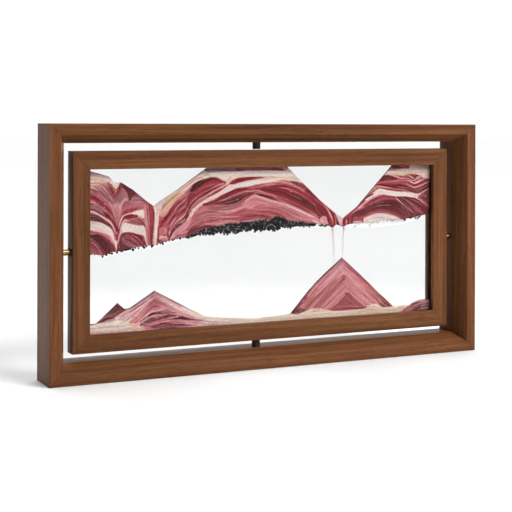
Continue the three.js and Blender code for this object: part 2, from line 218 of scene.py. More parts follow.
def clear_liquid(name):
    g = Graph(name)
    haze = g.noise(g.place(), scale=60.0, detail=3.0)
    clear = g.add("BsdfTransparent", {"Color": g.ramp(haze, [(0.3, (0.950, 0.951, 0.952)), (0.7, (0.957, 0.958, 0.959))])})
    g.tree.links.new(clear.outputs[0], g.out.inputs["Surface"])
    return g.mat


# ------------------------------------------------------------------ CAD meshes: weld, ease the long arrises, smooth the rounds

def tidy_group():
    """Welds the faceted solid's split corners and drops its stored normals."""
    ng = bpy.data.node_groups.new("tidy", "GeometryNodeTree")
    ng.interface.new_socket("Geometry", in_out="INPUT", socket_type="NodeSocketGeometry")
    ng.interface.new_socket("Geometry", in_out="OUTPUT", socket_type="NodeSocketGeometry")
    i, o = ng.nodes.new("NodeGroupInput"), ng.nodes.new("NodeGroupOutput")
    weld = ng.nodes.new("GeometryNodeMergeByDistance")
    weld.inputs["Distance"].default_value = 2e-6
    ng.links.new(i.outputs[0], weld.inputs["Geometry"])
    last = weld.outputs[0]
    for name in ("custom_normal", "sharp_edge", "sharp_face"):
        drop = ng.nodes.new("GeometryNodeRemoveAttribute")
        drop.inputs["Name"].default_value = name
        ng.links.new(last, drop.inputs[0])
        last = drop.outputs[0]
    ng.links.new(last, o.inputs[0])
    return ng


def arris_group(axis):
    """Marks the long edges of a bar, those that run along its grain, for easing. The mitres stay sharp and tight."""
    ng = bpy.data.node_groups.new("arris_" + "xyz"[axis], "GeometryNodeTree")
    ng.interface.new_socket("Geometry", in_out="INPUT", socket_type="NodeSocketGeometry")
    ng.interface.new_socket("Geometry", in_out="OUTPUT", socket_type="NodeSocketGeometry")
    i, o = ng.nodes.new("NodeGroupInput"), ng.nodes.new("NodeGroupOutput")
    ends = ng.nodes.new("GeometryNodeInputMeshEdgeVertices")
    run = ng.nodes.new("ShaderNodeVectorMath")
    run.operation = "SUBTRACT"
    ng.links.new(ends.outputs["Position 2"], run.inputs[0])
    ng.links.new(ends.outputs["Position 1"], run.inputs[1])
    unit = ng.nodes.new("ShaderNodeVectorMath")
    unit.operation = "NORMALIZE"
    ng.links.new(run.outputs[0], unit.inputs[0])
    part = ng.nodes.new("ShaderNodeSeparateXYZ")
    ng.links.new(unit.outputs[0], part.inputs[0])
    size = ng.nodes.new("ShaderNodeMath")
    size.operation = "ABSOLUTE"
    ng.links.new(part.outputs[axis], size.inputs[0])
    straight = ng.nodes.new("ShaderNodeMath")
    straight.operation = "GREATER_THAN"
    straight.inputs[1].default_value = 0.999
    ng.links.new(size.outputs[0], straight.inputs[0])
    angle = ng.nodes.new("GeometryNodeInputMeshEdgeAngle")
    sharp = ng.nodes.new("ShaderNodeMath")
    sharp.operation = "GREATER_THAN"
    sharp.inputs[1].default_value = 0.3
    ng.links.new(angle.outputs["Unsigned Angle"], sharp.inputs[0])
    both = ng.nodes.new("ShaderNodeMath")
    both.operation = "MULTIPLY"
    ng.links.new(straight.outputs[0], both.inputs[0])
    ng.links.new(sharp.outputs[0], both.inputs[1])
    store = ng.nodes.new("GeometryNodeStoreNamedAttribute")
    store.data_type, store.domain = "FLOAT", "EDGE"
    store.inputs["Name"].default_value = "bevel_weight_edge"
    ng.links.new(i.outputs[0], store.inputs["Geometry"])
    ng.links.new(both.outputs[0], store.inputs["Value"])
    ng.links.new(store.outputs[0], o.inputs[0])
    return ng


def shade_group():
    """Smooth faces, with edges over 15 degrees kept hard, so the flat faces stay flat and the rounds smooth."""
    ng = bpy.data.node_groups.new("shade", "GeometryNodeTree")
    ng.interface.new_socket("Geometry", in_out="INPUT", socket_type="NodeSocketGeometry")
    ng.interface.new_socket("Geometry", in_out="OUTPUT", socket_type="NodeSocketGeometry")
    i, o = ng.nodes.new("NodeGroupInput"), ng.nodes.new("NodeGroupOutput")
    faces = ng.nodes.new("GeometryNodeSetShadeSmooth")
    faces.domain = "FACE"
    ng.links.new(i.outputs[0], faces.inputs["Geometry"])
    angle = ng.nodes.new("GeometryNodeInputMeshEdgeAngle")
    hard = ng.nodes.new("FunctionNodeCompare")
    hard.data_type, hard.operation = "FLOAT", "GREATER_THAN"
    hard.inputs[1].default_value = math.radians(15)
    ng.links.new(angle.outputs["Unsigned Angle"], hard.inputs[0])
    edges = ng.nodes.new("GeometryNodeSetShadeSmooth")
    edges.domain = "EDGE"
    edges.inputs["Shade Smooth"].default_value = False
    ng.links.new(faces.outputs[0], edges.inputs["Geometry"])
    ng.links.new(hard.outputs[0], edges.inputs["Selection"])
    ng.links.new(edges.outputs[0], o.inputs[0])
    return ng


TIDY, SHADE = tidy_group(), shade_group()
ARRIS = {"x": arris_group(0), "z": arris_group(2)}


def use_nodes(obj, group):
    m = obj.modifiers.new(group.name, "NODES")
    m.node_group = group


def ease(obj, along=None, width=0.0, all_edges=False):
    """along: eases the long arrises of a bar by width. all_edges: eases every sharp edge."""
    use_nodes(obj, TIDY)
    flat = obj.modifiers.new("flat", "DECIMATE")
    flat.decimate_type, flat.angle_limit = "DISSOLVE", math.radians(0.4)
    if along:
        use_nodes(obj, ARRIS[along])
    if along or all_edges:
        b = obj.modifiers.new("ease", "BEVEL")
        b.width, b.segments, b.offset_type = width, 3, "OFFSET"
        b.limit_method = "WEIGHT" if along else "ANGLE"
        b.angle_limit = math.radians(40)
        b.use_clamp_overlap = True
    use_nodes(obj, SHADE)


def finish_with(obj, mat):
    obj.data.materials.clear()
    obj.data.materials.append(mat)


BARS = {  # node: grain, place on the board, tone
    "outer_top_rail": ("x", (0.31, 0.12, 0.07), (1.06, 1.06, 1.04)),
    "outer_bottom_rail": ("x", (1.73, 0.45, 0.31), (1.00, 0.99, 1.00)),
    "outer_left_stile": ("z", (2.11, 0.83, 0.52), (1.02, 1.00, 0.98)),
    "outer_right_stile": ("z", (3.37, 0.21, 0.77), (1.04, 1.02, 1.02)),
    "inner_top_rail": ("x", (4.19, 0.64, 0.13), (1.00, 1.00, 0.98)),
    "inner_bottom_rail": ("x", (5.83, 0.37, 0.91), (1.02, 1.03, 1.05)),
    "inner_left_stile": ("z", (6.41, 0.95, 0.26), (0.98, 0.98, 0.98)),
    "inner_right_stile": ("z", (7.67, 0.52, 0.68), (1.03, 1.02, 1.00)),
}
for node, (along, at, tone) in BARS.items():
    finish_with(cad[node], walnut("walnut_" + node, along, at, tone))
    ease(cad[node], along, 0.00055 if node.startswith("outer") else 0.0005)

spline = walnut("walnut_spline", "x", (9.2, 0.3, 0.4), (1.5, 1.5, 1.6))
for corner in ("tl", "tr", "bl", "br"):
    for which in ("outer", "inner"):
        finish_with(cad[f"{which}_corner_key_{corner}"], spline)
        ease(cad[f"{which}_corner_key_{corner}"])

bronze = metal("bronze_turned", (0.20, 0.105, 0.045), (0.42, 0.245, 0.115), 0.30)
dark_bronze = metal("dark_bronze_turned", (0.022, 0.012, 0.008), (0.060, 0.032, 0.020), 0.42, along="z")
magnet = metal("nickel_plate", (0.42, 0.41, 0.39), (0.60, 0.59, 0.57), 0.24, along="z")
nylon = plastic("nylon_dark", (0.010, 0.008, 0.007), (0.022, 0.018, 0.016), 0.5)
sealant = plastic("silicone_seal", (0.018, 0.015, 0.014), (0.036, 0.031, 0.029), 0.6)
for side in ("left", "right"):
    finish_with(cad[f"{side}_pivot_pin"], bronze)
    ease(cad[f"{side}_pivot_pin"], width=0.0003, all_edges=True)
    finish_with(cad[f"{side}_pivot_bush"], nylon)
    ease(cad[f"{side}_pivot_bush"], width=0.00015, all_edges=True)
for end in ("top", "bottom"):
    finish_with(cad[f"{end}_catch_post"], dark_bronze)
    ease(cad[f"{end}_catch_post"], width=0.0003, all_edges=True)
    for which in ("post", "keeper"):
        finish_with(cad[f"{end}_{which}_magnet"], magnet)
        ease(cad[f"{end}_{which}_magnet"], width=0.0001, all_edges=True)
for side in ("top", "bottom", "left", "right"):
    finish_with(cad[f"seal_{side}"], sealant)
    ease(cad[f"seal_{side}"])
finish_with(cad["front_glass"], pane_glass("glass_front", True, 0.0))
finish_with(cad["rear_glass"], pane_glass("glass_rear", False, 0.004))
finish_with(cad["clear_liquid"], clear_liquid("liquid_clear"))
for node in ("front_glass", "rear_glass", "clear_liquid"):
    use_nodes(cad[node], TIDY)
    use_nodes(cad[node], SHADE)


# ------------------------------------------------------------------ sand: the drawing

SEEN = {  # sand colours as they look behind the glass, sRGB
    "cream": (227, 207, 199), "shell": (225, 185, 181), "blush": (217, 156, 159), "pink": (198, 124, 129),
    "rose": (177, 98, 104), "brick": (158, 72, 79), "crimson": (145, 51, 57), "ruby": (126, 40, 47),
    "wine": (114, 49, 54), "maroon": (98, 44, 48), "soot": (76, 38, 38), "plum": (122, 62, 73), "mauve": (149, 93, 99),
    "ash": (116, 82, 86), "lilac": (187, 148, 152), "pearl": (206, 181, 177), "stone": (196, 179, 169),
    "tan": (212, 185, 156), "straw": (206, 182, 127), "olive": (158, 130, 72), "peach": (220, 172, 154),
    "salmon": (218, 132, 126), "amber": (183, 98, 70), "rust": (145, 66, 55), "dusk": (98, 74, 78),
    "sandy": (216, 191, 170), "oat": (223, 205, 191), "mist": (186, 181, 182), "cocoa": (108, 65, 64), "garnet": (156, 90, 90), "rosy": (200, 131, 130), "coral": (186, 99, 95), "umber": (138, 84, 78),
}
STROKES = []


def stroke(kind, col, soft, pts, power):
    STROKES.append((kind, col, soft, np.array([[float(v) for v in p.split(",")] for p in pts.split()] if isinstance(pts, str) else pts, float), power))


def block(col, soft, pts, power=1.0):
    """A straight-sided patch, x,z in mm."""
    stroke("block", col, soft, pts, power)


def fill(col, soft, pts, power=1.0):
    """A patch with a smooth outline."""
    stroke("fill", col, soft, pts, power)


def line(col, soft, pts, power=1.0):
    """A ribbon: x,z,half width."""
    stroke("line", col, soft, pts, power)


def leg(colour, soft, slope, inset, low, high, half, power):
    """A layer that lies along a slope, set in from it level by level."""
    pts = sorted(slope, key=lambda p: p[1])
    z = np.linspace(low, high, 7)
    x = np.interp(z, [p[1] for p in pts], [p[0] for p in pts]) + inset
    line(colour, soft, " ".join("%.2f,%.2f,%.2f" % (a, b, half * w) for a, b, w in zip(x, z, (0.4, 0.9, 1.0, 0.9, 1.0, 0.8, 0.3))), power)


def ply(col, soft, slope, drop, lean, half, power, floor):
    """A thin layer that runs along a slope, drop mm under it, down to the floor line."""
    x = np.linspace(slope[0][0], slope[-1][0], 60)
    z = np.interp(x, [p[0] for p in slope], [p[1] for p in slope]) - drop
    keep = z > floor
    if keep.sum() > 8:
        x, z = x[keep], z[keep]
        pick = np.linspace(0, len(x) - 1, 6).astype(int)
        thin = np.array([0.6, 1.0, 1.15, 1.0, 0.9, 0.6])
        line(col, soft, np.column_stack([x[pick] + lean * drop, z[pick], half * thin]), power)


# ---- held sand: ground tones
block("rose", 1.0, "-172,95 -172,178 172,178 172,95")
fill("mauve", 2.5, "-170,162 -150,161 -143,152 -138,160 -128,156 -118,148 -117,140 -138,139 -146,141 -152,147 -158,152 -170,152")

# left end, from the bottom up
fill("brick", 1.5, "-170,124 -158,122 -150,119 -145,115 -143,109 -141,102 -150,100 -170,100")
fill("plum", 1.4, "-170,115 -163,113 -158.5,109 -155.5,104 -155,99 -170,99", 0.9)
fill("rose", 1.5, "-166,110 -161,108 -157,103 -158,100 -166,101", 0.55)
fill("maroon", 1.3, "-170,119.2 -160,119 -154,117 -149,112.5 -145.5,107 -145.5,102 -150,102.5 -154,106.5 -158,111.5 -162,114.5 -170,116")
fill("soot", 1.2, "-161,118 -156,117 -152,113 -150,107 -153,107 -157,112 -161,115.5", 0.75)
line("crimson", 0.8, "-158,109,.5 -155,105,1.2 -152,101.5,1.4")
line("wine", 0.8, "-148,113,1 -145.5,109,1.4 -143.4,104.5,1")
line("pink", 0.9, "-170,121.6,1 -160,121.1,1 -153,119.2,.9 -148,115.6,.8 -145,111,.5", 0.8)
fill("cream", 0.45, "-170,130.2 -163,129.6 -156,128.4 -150,125.8 -146.6,123.2 -144.6,120.2 -143.3,116 -142.4,112 -141.6,108 -142.4,107 -144.4,112 -146,116 -150,118.7 -156,121.2 -163,122.7 -170,123.2")
line("shell", 0.4, "-164,123.3,.6 -156,121.8,.6 -150,119.4,.6 -146.4,116.4,.6 -144.4,112.4,.6", 0.8)
fill("maroon", 0.5, "-170,136 -160,134.9 -155,133 -150,128.9 -147,126.8 -145,123.6 -147.4,124.6 -150,126 -157,129.3 -164,130.8 -170,131.4")
line("mauve", 0.35, "-170,133.6,.5 -160,132.8,.5 -155,130.8,.5 -149.5,127,.35", 0.85)
line("plum", 0.3, "-170,131.6,.4 -160,130.6,.45 -152,127.6,.4 -148,125,.3", 0.7)
fill("maroon", 0.7, "-170,147.6 -163,145.8 -157,142.8 -151,138.4 -147.6,134.8 -145.4,131 -143.8,127.5 -141.2,124.8 -141.4,122 -143.4,124.5 -146.4,130 -150,132.4 -156,136.2 -160,139.4 -164,141 -170,141.4")
line("soot", 0.9, "-168,144.4,1 -160,142.2,1 -154,138,.9 -149,133.6,.7", 0.7)
line("ruby", 0.6, "-148.4,134.6,.5 -146,131,.9 -143.6,126.6,1.1 -141.4,122.6,.8", 0.9)
fill("blush", 0.45, "-170,140.6 -163.6,139.8 -160.6,138.8 -155.6,135.2 -151,132 -147,129.6 -144.4,125.9 -142.6,121.5 -141.2,118.4 -141.3,116.9 -143.2,120.8 -145,124.2 -147.2,127.3 -151,130.3 -156,133.8 -160,136.4 -165,136.4 -170,136")
line("shell", 0.5, "-170,138.6,1.2 -163,137.8,.9 -157.5,135,.6 -152,131.6,.4", 0.8)
fill("crimson", 1.1, "-170,152.6 -163,151.2 -157,148 -151.5,143.6 -148,139 -146.6,135 -148.6,136 -152,139.6 -158,144 -163,146.6 -170,148.2", 0.85)
line("ruby", 0.9, "-166,150,.7 -161.5,149.6,1.3 -158,147,.6", 0.8)
line("brick", 0.8, "-158,149.6,.5 -152,144.6,.8 -148,139.6,.6", 0.8)
line("blush", 0.35, "-165,158.2,.25 -160,156.4,.4 -155,151.6,.4 -150.6,147,.4 -146.6,143,.5 -144,139,.3", 0.75)
line("pink", 0.45, "-168,156,.4 -163,153.6,.7 -158,150.6,.6 -153.4,146,.5 -149,141.4,.6 -146.4,137.4,.5 -144.6,133,.3", 0.8)
line("blush", 0.3, "-157,158.6,.2 -151.4,151.6,.3 -147,146,.3 -143.8,141.8,.4", 0.7)
line("brick", 0.6, "-166,157,.4 -161,154,.6 -156.6,153.6,.9 -152,148.4,.6 -148,143.6,.4", 0.6)
line("mauve", 0.8, "-154,158.6,1 -150,152,1.2 -146.4,146.2,1 -144,142.4,.6", 0.8)
# funnel of the left end
fill("pink", 0.8, "-146.6,141.4 -143.4,144 -139.4,143.6 -137.3,140 -137.4,134.6 -139.4,129.4 -141.3,126 -143.4,130 -145,135.4", 0.9)
fill("lilac", 1.2, "-144.6,142.6 -142,143.8 -139.8,142 -140.6,137 -142,134.6 -143.6,138", 0.55)
line("pink", 0.5, "-142.6,134,.6 -141.7,129.4,.7 -141.3,126.6,.4", 0.7)
line("blush", 0.3, "-144.4,143.2,.25 -142.6,141.6,.35 -140.6,142.8,.25", 0.8)
line("lilac", 0.7, "-138.6,135,.5 -138.4,140.4,.8 -137,144,1 -134.4,146.9,1.1 -131.8,146.4,.9 -130.6,144.6,.4", 0.9)
fill("lilac", 1.0, "-128,147.6 -124.6,148.3 -120.6,147.4 -121,145.2 -125.6,144.7 -128.6,145.4", 0.65)
line("ash", 0.7, "-131.4,147,.4 -130,143.6,.9 -129,142.4,.3", 0.8)
fill("rose", 1.2, "-135.6,143.6 -132,144.6 -127,143.4 -118,144.4 -117,139 -124,139.6 -131,138.6 -135.8,135.4")
line("brick", 0.7, "-136.4,133.8,.5 -134,137,.9 -129,138.6,.9 -123,139.2,.6", 0.9)
line("crimson", 0.5, "-137,131.4,.4 -134.8,134.9,.6 -130,137.2,.7 -124,138.6,.4")
line("pink", 0.5, "-130,141.4,.5 -124,142.2,.7 -118.4,142.8,.6", 0.6)
# right shoulder of that funnel
fill("rose", 0.6, "-137.4,126.6 -135.4,130 -132,130.6 -126,131.4 -122,132.4 -117,131.4 -116.6,123.8 -124,125.4 -131,127")
line("mauve", 0.5, "-132,130,.5 -126,129.4,.8 -120,127.8,.7 -117,126,.4", 0.85)
line("wine", 0.4, "-124.6,130.8,.3 -120.6,128.8,.6 -117.6,125.2,.6 -116.6,122.4,.3", 0.9)
line("brick", 0.3, "-131,128.6,.3 -126,127.6,.4 -121,126.6,.5 -117.6,124.4,.3", 0.8)
fill("ruby", 0.45, "-138,128.4 -136.8,131.7 -134.4,134.1 -130,135 -126,134.6 -122.4,133.6 -123,132 -127,131.4 -131,130.9 -134,130.8 -136.4,128.6 -137.6,126")
line("wine", 0.5, "-134,132.6,.6 -130,133.3,.9 -126,132.9,.6", 0.8)
line("blush", 0.3, "-140,121,.4 -138.9,126.6,.5 -137.2,131,.5 -134.8,134.1,.5 -131,135.6,.5 -127,136,.6")
fill("cream", 0.5, "-127.6,136.4 -125,137.3 -121,138.1 -117.2,138.1 -116.4,135 -116.8,131.6 -119.6,131.2 -122.4,132.6 -123.2,134.6 -126.2,135")
fill("blush", 0.8, "-123,133 -119.4,133.6 -117,132.6 -117,130.6 -120,130.8", 0.75)
line("ruby", 0.3, "-140.4,118,.35 -139.1,122.4,.5 -138,126.4,.5", 0.9)
fill("cream", 0.45, "-137.3,120.4 -136.9,124.6 -135.2,127.2 -132,127.3 -127,126 -121,124.9 -117.4,123.9 -116,119 -115.2,112 -115.8,110 -117,114.6 -118.8,117 -123.3,118.3 -128.7,119.5 -134.6,119.6 -136.2,117.6")
fill("blush", 0.4, "-138.7,120.4 -137.7,126 -135.6,129.4 -133.4,130.2 -130.2,128.9 -132,127.9 -135,127.8 -136.7,125 -137.1,120.8 -138.4,115.4 -140,111.6 -140.9,110.8 -139.8,115")
line("shell", 0.35, "-136.6,121,.6 -137.6,117,.7 -139,113.4,.6 -140.4,110.6,.5")
fill("ruby", 0.35, "-142.6,121.4 -141.3,123.4 -139.9,122 -140.4,117.6 -141.2,112.6 -142,116.6")
line("blush", 0.3, "-142.3,120.6,.3 -141.3,118.4,.4 -140.5,120.4,.3", 0.9)
line("blush", 0.3, "-141.6,112,.7 -141.3,108,.8 -141.1,103.6,.6")
line("cream", 0.3, "-141.9,113,.4 -141.4,108,.5 -141.2,104.4,.3", 0.9)
# under the right shoulder
fill("wine", 0.6, "-139.6,112 -138.4,116.4 -136,119.4 -129,119.4 -123,118 -119,116.6 -117.4,113 -115.8,109 -117,107 -130,105 -140.4,103 -140.8,109")
fill("mauve", 1.2, "-136.4,116 -132,116.4 -127,113.6 -122,109.4 -119,106.8 -127,106.2 -133,109 -136,112.6", 0.75)
line("ruby", 0.6, "-135,119,.4 -129.6,118.4,.9 -124.6,115,1.2 -120,111,1 -117,108,.5")
line("rose", 0.5, "-134.4,117.4,.3 -130,116.6,.5 -125.6,113,.6 -121.6,109.6,.4", 0.7)
line("maroon", 0.4, "-134,114,.4 -129.6,112.8,.6 -125,109.8,.5 -122,107.6,.3", 0.8)
line("rose", 0.4, "-136,110.4,.3 -130,109.6,.5 -125,107.4,.4", 0.6)
line("pink", 0.5, "-131,107.4,.3 -124,107.8,.5 -118.6,107.2,.4", 0.5)
line("maroon", 0.6, "-139.4,111,.6 -138,107.6,.9 -136,105.4,.5", 0.8)

# crust of the left end, its cream notch and its peak
fill("pearl", 0.5, "-170,174 -150,167.4 -146,166 -143,162.6 -143,160.4 -148,160.6 -155,161.4 -170,163.4")
fill("lilac", 0.9, "-170,172 -158,168.6 -149,166 -149,165 -158,166.6 -170,168.4", 0.8)
line("shell", 0.6, "-168,165,.7 -156,163.6,.7 -149,162.8,.5", 0.7)
# painted shade: a dusk line along the top edge of the sand, for its shaded rim
line("dusk", 0.5, "-168,171.8,.6 -158,169,.5 -150,166.7,.4 -146.6,165.4,.3", 0.75)
line("tan", 0.5, "-168,164.4,1.1 -157,163.4,1 -149.4,162,.6")
line("olive", 0.25, "-168,162.9,.25 -160,162.2,.4 -152,161.5,.35 -148.8,160.9,.25", 0.8)
line("straw", 0.4, "-168,161.2,.5 -158,160.9,.45 -149.4,160.3,.4", 0.8)
fill("rust", 0.6, "-150,160.9 -147.4,161 -145.6,158.6 -144,155.4 -141.6,153.4 -142.4,150.4 -144.4,150 -146.4,154 -148.6,157.6", 0.95)
line("wine", 0.8, "-147,156.6,.6 -145,152.2,.9 -143.6,149.4,.6", 0.85)
fill("rose", 0.6, "-141.4,156.4 -139.6,159.4 -138.4,160.6 -137.4,158 -139,153.6 -140.6,152.4")
line("wine", 0.6, "-137.6,160.6,.6 -138.6,156,.9 -140.2,152,.9 -142,149.6,.7", 0.9)
line("crimson", 0.6, "-143.6,153.6,.7 -141.6,152.6,.8 -140.2,154.4,.5", 0.8)
fill("cream", 0.45, "-147.6,161.2 -145.2,163.8 -142.8,162.2 -138.4,162 -139.2,159.4 -140.8,157.2 -142.6,155.8 -144.6,157.6 -146,159.8")
fill("amber", 0.6, "-144.9,156.8 -143.4,156.6 -141.9,156.2 -141.6,154.4 -143,152.8 -144.4,154.2", 0.85)
line("tan", 0.5, "-146,160.2,.4 -144.2,157.8,.5 -142.6,156.6,.4", 0.7)
fill("maroon", 0.6, "-138.2,162 -136,161.4 -131,158 -124,153.4 -124.4,151.6 -127,149.6 -129.4,146.2 -130.6,147 -131.6,151.6 -134,155.4 -137,157.6")
line("soot", 0.6, "-136.6,160.4,.5 -131,156.8,.9 -125.6,153.2,.6", 0.8)
line("wine", 0.8, "-128.6,151.6,1.2 -125,150.6,1.2 -122.6,150.4,.6", 0.7)
line("mauve", 0.6, "-124.6,150.4,.8 -119,146.8,1 -114,143.6,.7", 0.7)
# painted shade: a dusk line along the top edge of the sand, for its shaded rim
line("dusk", 0.35, "-125,153.3,.3 -118,148.5,.4 -112,143.9,.4", 0.55)

# second funnel: rose column, crimson column, cream column
fill("pink", 0.6, "-117.4,141.6 -113.2,141.4 -112.6,132 -113.2,122 -112.4,112 -112,106 -115.6,106.6 -115.8,116 -116.4,126 -117,133", 0.8)
line("lilac", 0.6, "-116,139,.5 -115.2,130,.7 -114.6,122,.5", 0.6)
line("blush", 0.35, "-116.4,124,.3 -115.4,115,.5 -114.9,108.6,.5", 0.8)
line("rose", 0.5, "-113.8,139,.8 -113,130,1 -112.6,122,.8", 0.7)
fill("crimson", 0.5, "-113.4,144.4 -108.4,141 -108,137 -108.5,129 -108.9,121 -109.2,115 -110.4,116 -111.6,124 -112.4,132")
line("brick", 0.5, "-110.4,141,.6 -109.4,133,.8 -109.6,125,.7", 0.8)
line("ruby", 0.4, "-112.6,125,.35 -111.4,119,.6 -110.6,113,.7")
fill("wine", 0.8, "-113,116 -111,118 -109.4,114 -108.8,109 -110.4,106 -112.6,107", 0.8)
line("rose", 0.4, "-113.4,121,.5 -112.6,114,.6 -112,108,.6", 0.8)
fill("shell", 0.5, "-109,142.4 -103,146 -101.6,142 -103,134 -104.6,124 -105.6,114 -105.8,108.6 -109.4,107.6 -109,116 -108.2,126 -107.8,134")
fill("pearl", 0.8, "-108.4,141.6 -103,145 -99,146.4 -101,141 -105,138", 0.9)
line("blush", 0.5, "-103.6,138,.6 -104.3,130,.7 -105.2,120,.7 -105.9,110,.5", 0.9)
line("cream", 0.5, "-106.6,138,.8 -106.5,130,.7 -107,120,.6 -107.6,112,.4", 0.75)
line("blush", 0.4, "-108.7,122,.3 -108.8,114,.5 -109,108,.5", 0.7)

# long flank to its right
fill("brick", 0.7, "-103.4,133 -98,137 -92,143.6 -85,150 -78,156 -72,160 -66,161.6 -54,164 -40,159.6 -46,152 -56,146.4 -66,142.6 -74,137 -80,128.6 -88,121.4 -93,113 -104.8,108.6 -105.4,118 -104.4,126")
fill("stone", 0.6, "-104,144 -92,151.6 -76,161.6 -62,171 -60,169.6 -74,160.4 -90,150 -100,143", 0.9)
fill("peach", 0.7, "-103,135.6 -99,141.8 -92,148 -82,155 -72,161.6 -62,168.4 -54,167.6 -56,164.8 -66,162.2 -74,157.6 -82,150.6 -89,145 -94,139.6 -99,134.4 -102.4,132")
fill("cream", 0.8, "-84,153.4 -74,160 -64,166.8 -50,167.6 -42,164 -46,161.6 -54,164.6 -64,162.8 -73,159.2 -80,153.6", 0.8)
line("olive", 0.8, "-101,138.6,.5 -97.4,142.4,.9 -92.6,146.8,1 -86,150.8,.5", 0.75)
line("straw", 0.7, "-99,142.6,.5 -93,148.4,.8 -86,152.4,.6 -80,156.4,.4", 0.75)
line("salmon", 0.4, "-80,156.6,.3 -76,159.4,.7 -73.4,161,.5 -71,161.9,.3")
line("amber", 0.35, "-78,158.2,.2 -75.2,159.9,.5 -73.2,161.1,.3", 0.75)
line("amber", 0.35, "-69.6,162.4,.2 -66.4,163.6,.4 -63.6,164.4,.3", 0.7)
line("mauve", 0.5, "-63,165.6,.3 -60,166.4,.5 -56,166.6,.3", 0.5)
line("stone", 0.35, "-96,147.2,.3 -84,154.4,.4 -72,162.6,.4", 0.55)
# flow lines of the flank, each a sigmoid from the upper right to the lower left
line("salmon", 0.4, "-101.8,131.4,.5 -97.4,135.6,.6 -93.4,140.4,.5 -88.6,145.4,.5 -82.4,150.6,.5 -76.4,155.6,.4 -72,158.6,.3")
line("pink", 0.4, "-91,141.2,.3 -86.4,145.8,.6 -81.6,148.4,.7 -77.6,152.4,.8 -74.6,155.6,.4")
fill("mauve", 1.0, "-89,139 -85,144.4 -80,148.2 -77,151.6 -75,154 -76.4,148 -78.4,143 -82.6,138.4 -88,134.4", 0.8)
line("rose", 0.5, "-90,137.6,.5 -85,141.4,.7 -80.6,144.6,.6 -77.6,148.4,.4", 0.7)
line("ruby", 0.45, "-101.6,126.4,.5 -98.6,129.6,1.1 -95,133.6,.9 -92.2,138.4,.6 -89.4,142.8,.7 -85.2,145.3,.5")
line("salmon", 0.35, "-100.6,131.4,.4 -98,133.2,.7 -95.2,136.6,.4")
line("crimson", 0.6, "-103,123,.6 -100,126.4,1 -96,130,.8 -92,135,.6 -86,139,.5 -82,142,.3", 0.9)
line("wine", 0.4, "-88.4,136.4,.3 -84.4,138.6,.5 -80.6,141.2,.4", 0.7)
line("rose", 0.35, "-99.6,123.6,.3 -96,127.4,.4 -92.4,132.4,.4 -86.4,137,.5 -81,140.4,.4", 0.8)
line("ruby", 0.4, "-97.4,119.4,.5 -95,124.4,.6 -91.4,130,.6 -86,134.4,.7 -81.4,137.4,.5")
line("blush", 0.3, "-95.9,116,.3 -94,120.8,.4 -90.5,125.4,.5 -87,128.2,.5 -83,130.9,.6 -79.8,134,.5 -77.6,138,.3")
line("crimson", 0.4, "-92,127.6,.3 -87.4,131,.7 -83,134,.9 -79.6,138,.7 -78,142,.4")
line("salmon", 0.35, "-86.6,130,.3 -83.6,132.2,.5 -81,134.8,.3", 0.7)
line("pink", 0.35, "-94.6,122.4,.3 -91.6,127.4,.4 -88,130.4,.4 -84.4,133.2,.3", 0.6)
fill("maroon", 0.6, "-96.6,111 -95,116 -92.6,121 -88.4,125 -83.6,128 -79.4,131.6 -77,136 -75.6,139.4 -73.6,137.4 -76,132.4 -79,129 -83.4,125.4 -88.4,121.6 -91.6,117.6 -93.6,112")
line("mauve", 0.4, "-88,124.6,.4 -84,126.8,.8 -80.6,129,.5", 0.9)
line("lilac", 0.35, "-86,125.4,.3 -82.6,127.2,.5 -79.6,129.4,.3", 0.5)
fill("blush", 0.7, "-94.4,112.2 -92,116.8 -88.6,120.2 -83.6,123.4 -80.6,126 -79.4,124 -80.6,121 -84,118.6 -88,116.6 -91,113", 0.9)
line("pink", 0.6, "-89.6,116.6,.5 -84,117.6,1.4 -79.4,118.6,1.2 -77.6,116,.5")
line("rose", 0.5, "-88,115.4,.4 -83,115.4,.8 -79,114,.5", 0.8)
for k, (c, p) in enumerate((("blush", .7), ("wine", .75), ("pink", .7), ("ruby", .7), ("blush", .55), ("maroon", .6))):
    o = 1.9 * k
    line(c, 0.28, f"{-101.4 + .55 * o},{129 - o},.22 {-97.6 + .55 * o},{132.6 - o},.32 {-94 + .6 * o},{137 - .9 * o},.32 {-89.4 + .6 * o},{142.4 - .85 * o},.3 {-83.4 + .5 * o},{146.6 - .8 * o},.25", p)
# foot of the flank by the cream column
fill("rose", 0.9, "-104.6,121 -101,123 -97.4,121.4 -96,116 -98,115 -102,115.6 -104.6,114", 0.8)
fill("shell", 0.6, "-104,115 -102,116.7 -100,115.6 -97,115.4 -96.8,114 -99.6,113.6 -102.6,113", 0.85)
line("salmon", 0.5, "-101.4,112.6,.3 -98.8,113.4,.8 -97,113,.4", 0.8)
line("wine", 0.4, "-105.4,113,.3 -103.2,111.6,.6 -100,110.6,.6 -97.4,110.6,.4")
line("wine", 0.35, "-96.6,119.4,.3 -96.2,116,.6 -95.6,112.6,.7")
line("wine", 0.5, "-104.8,123,.3 -104.4,116,.4 -104.9,111,.3", 0.8)

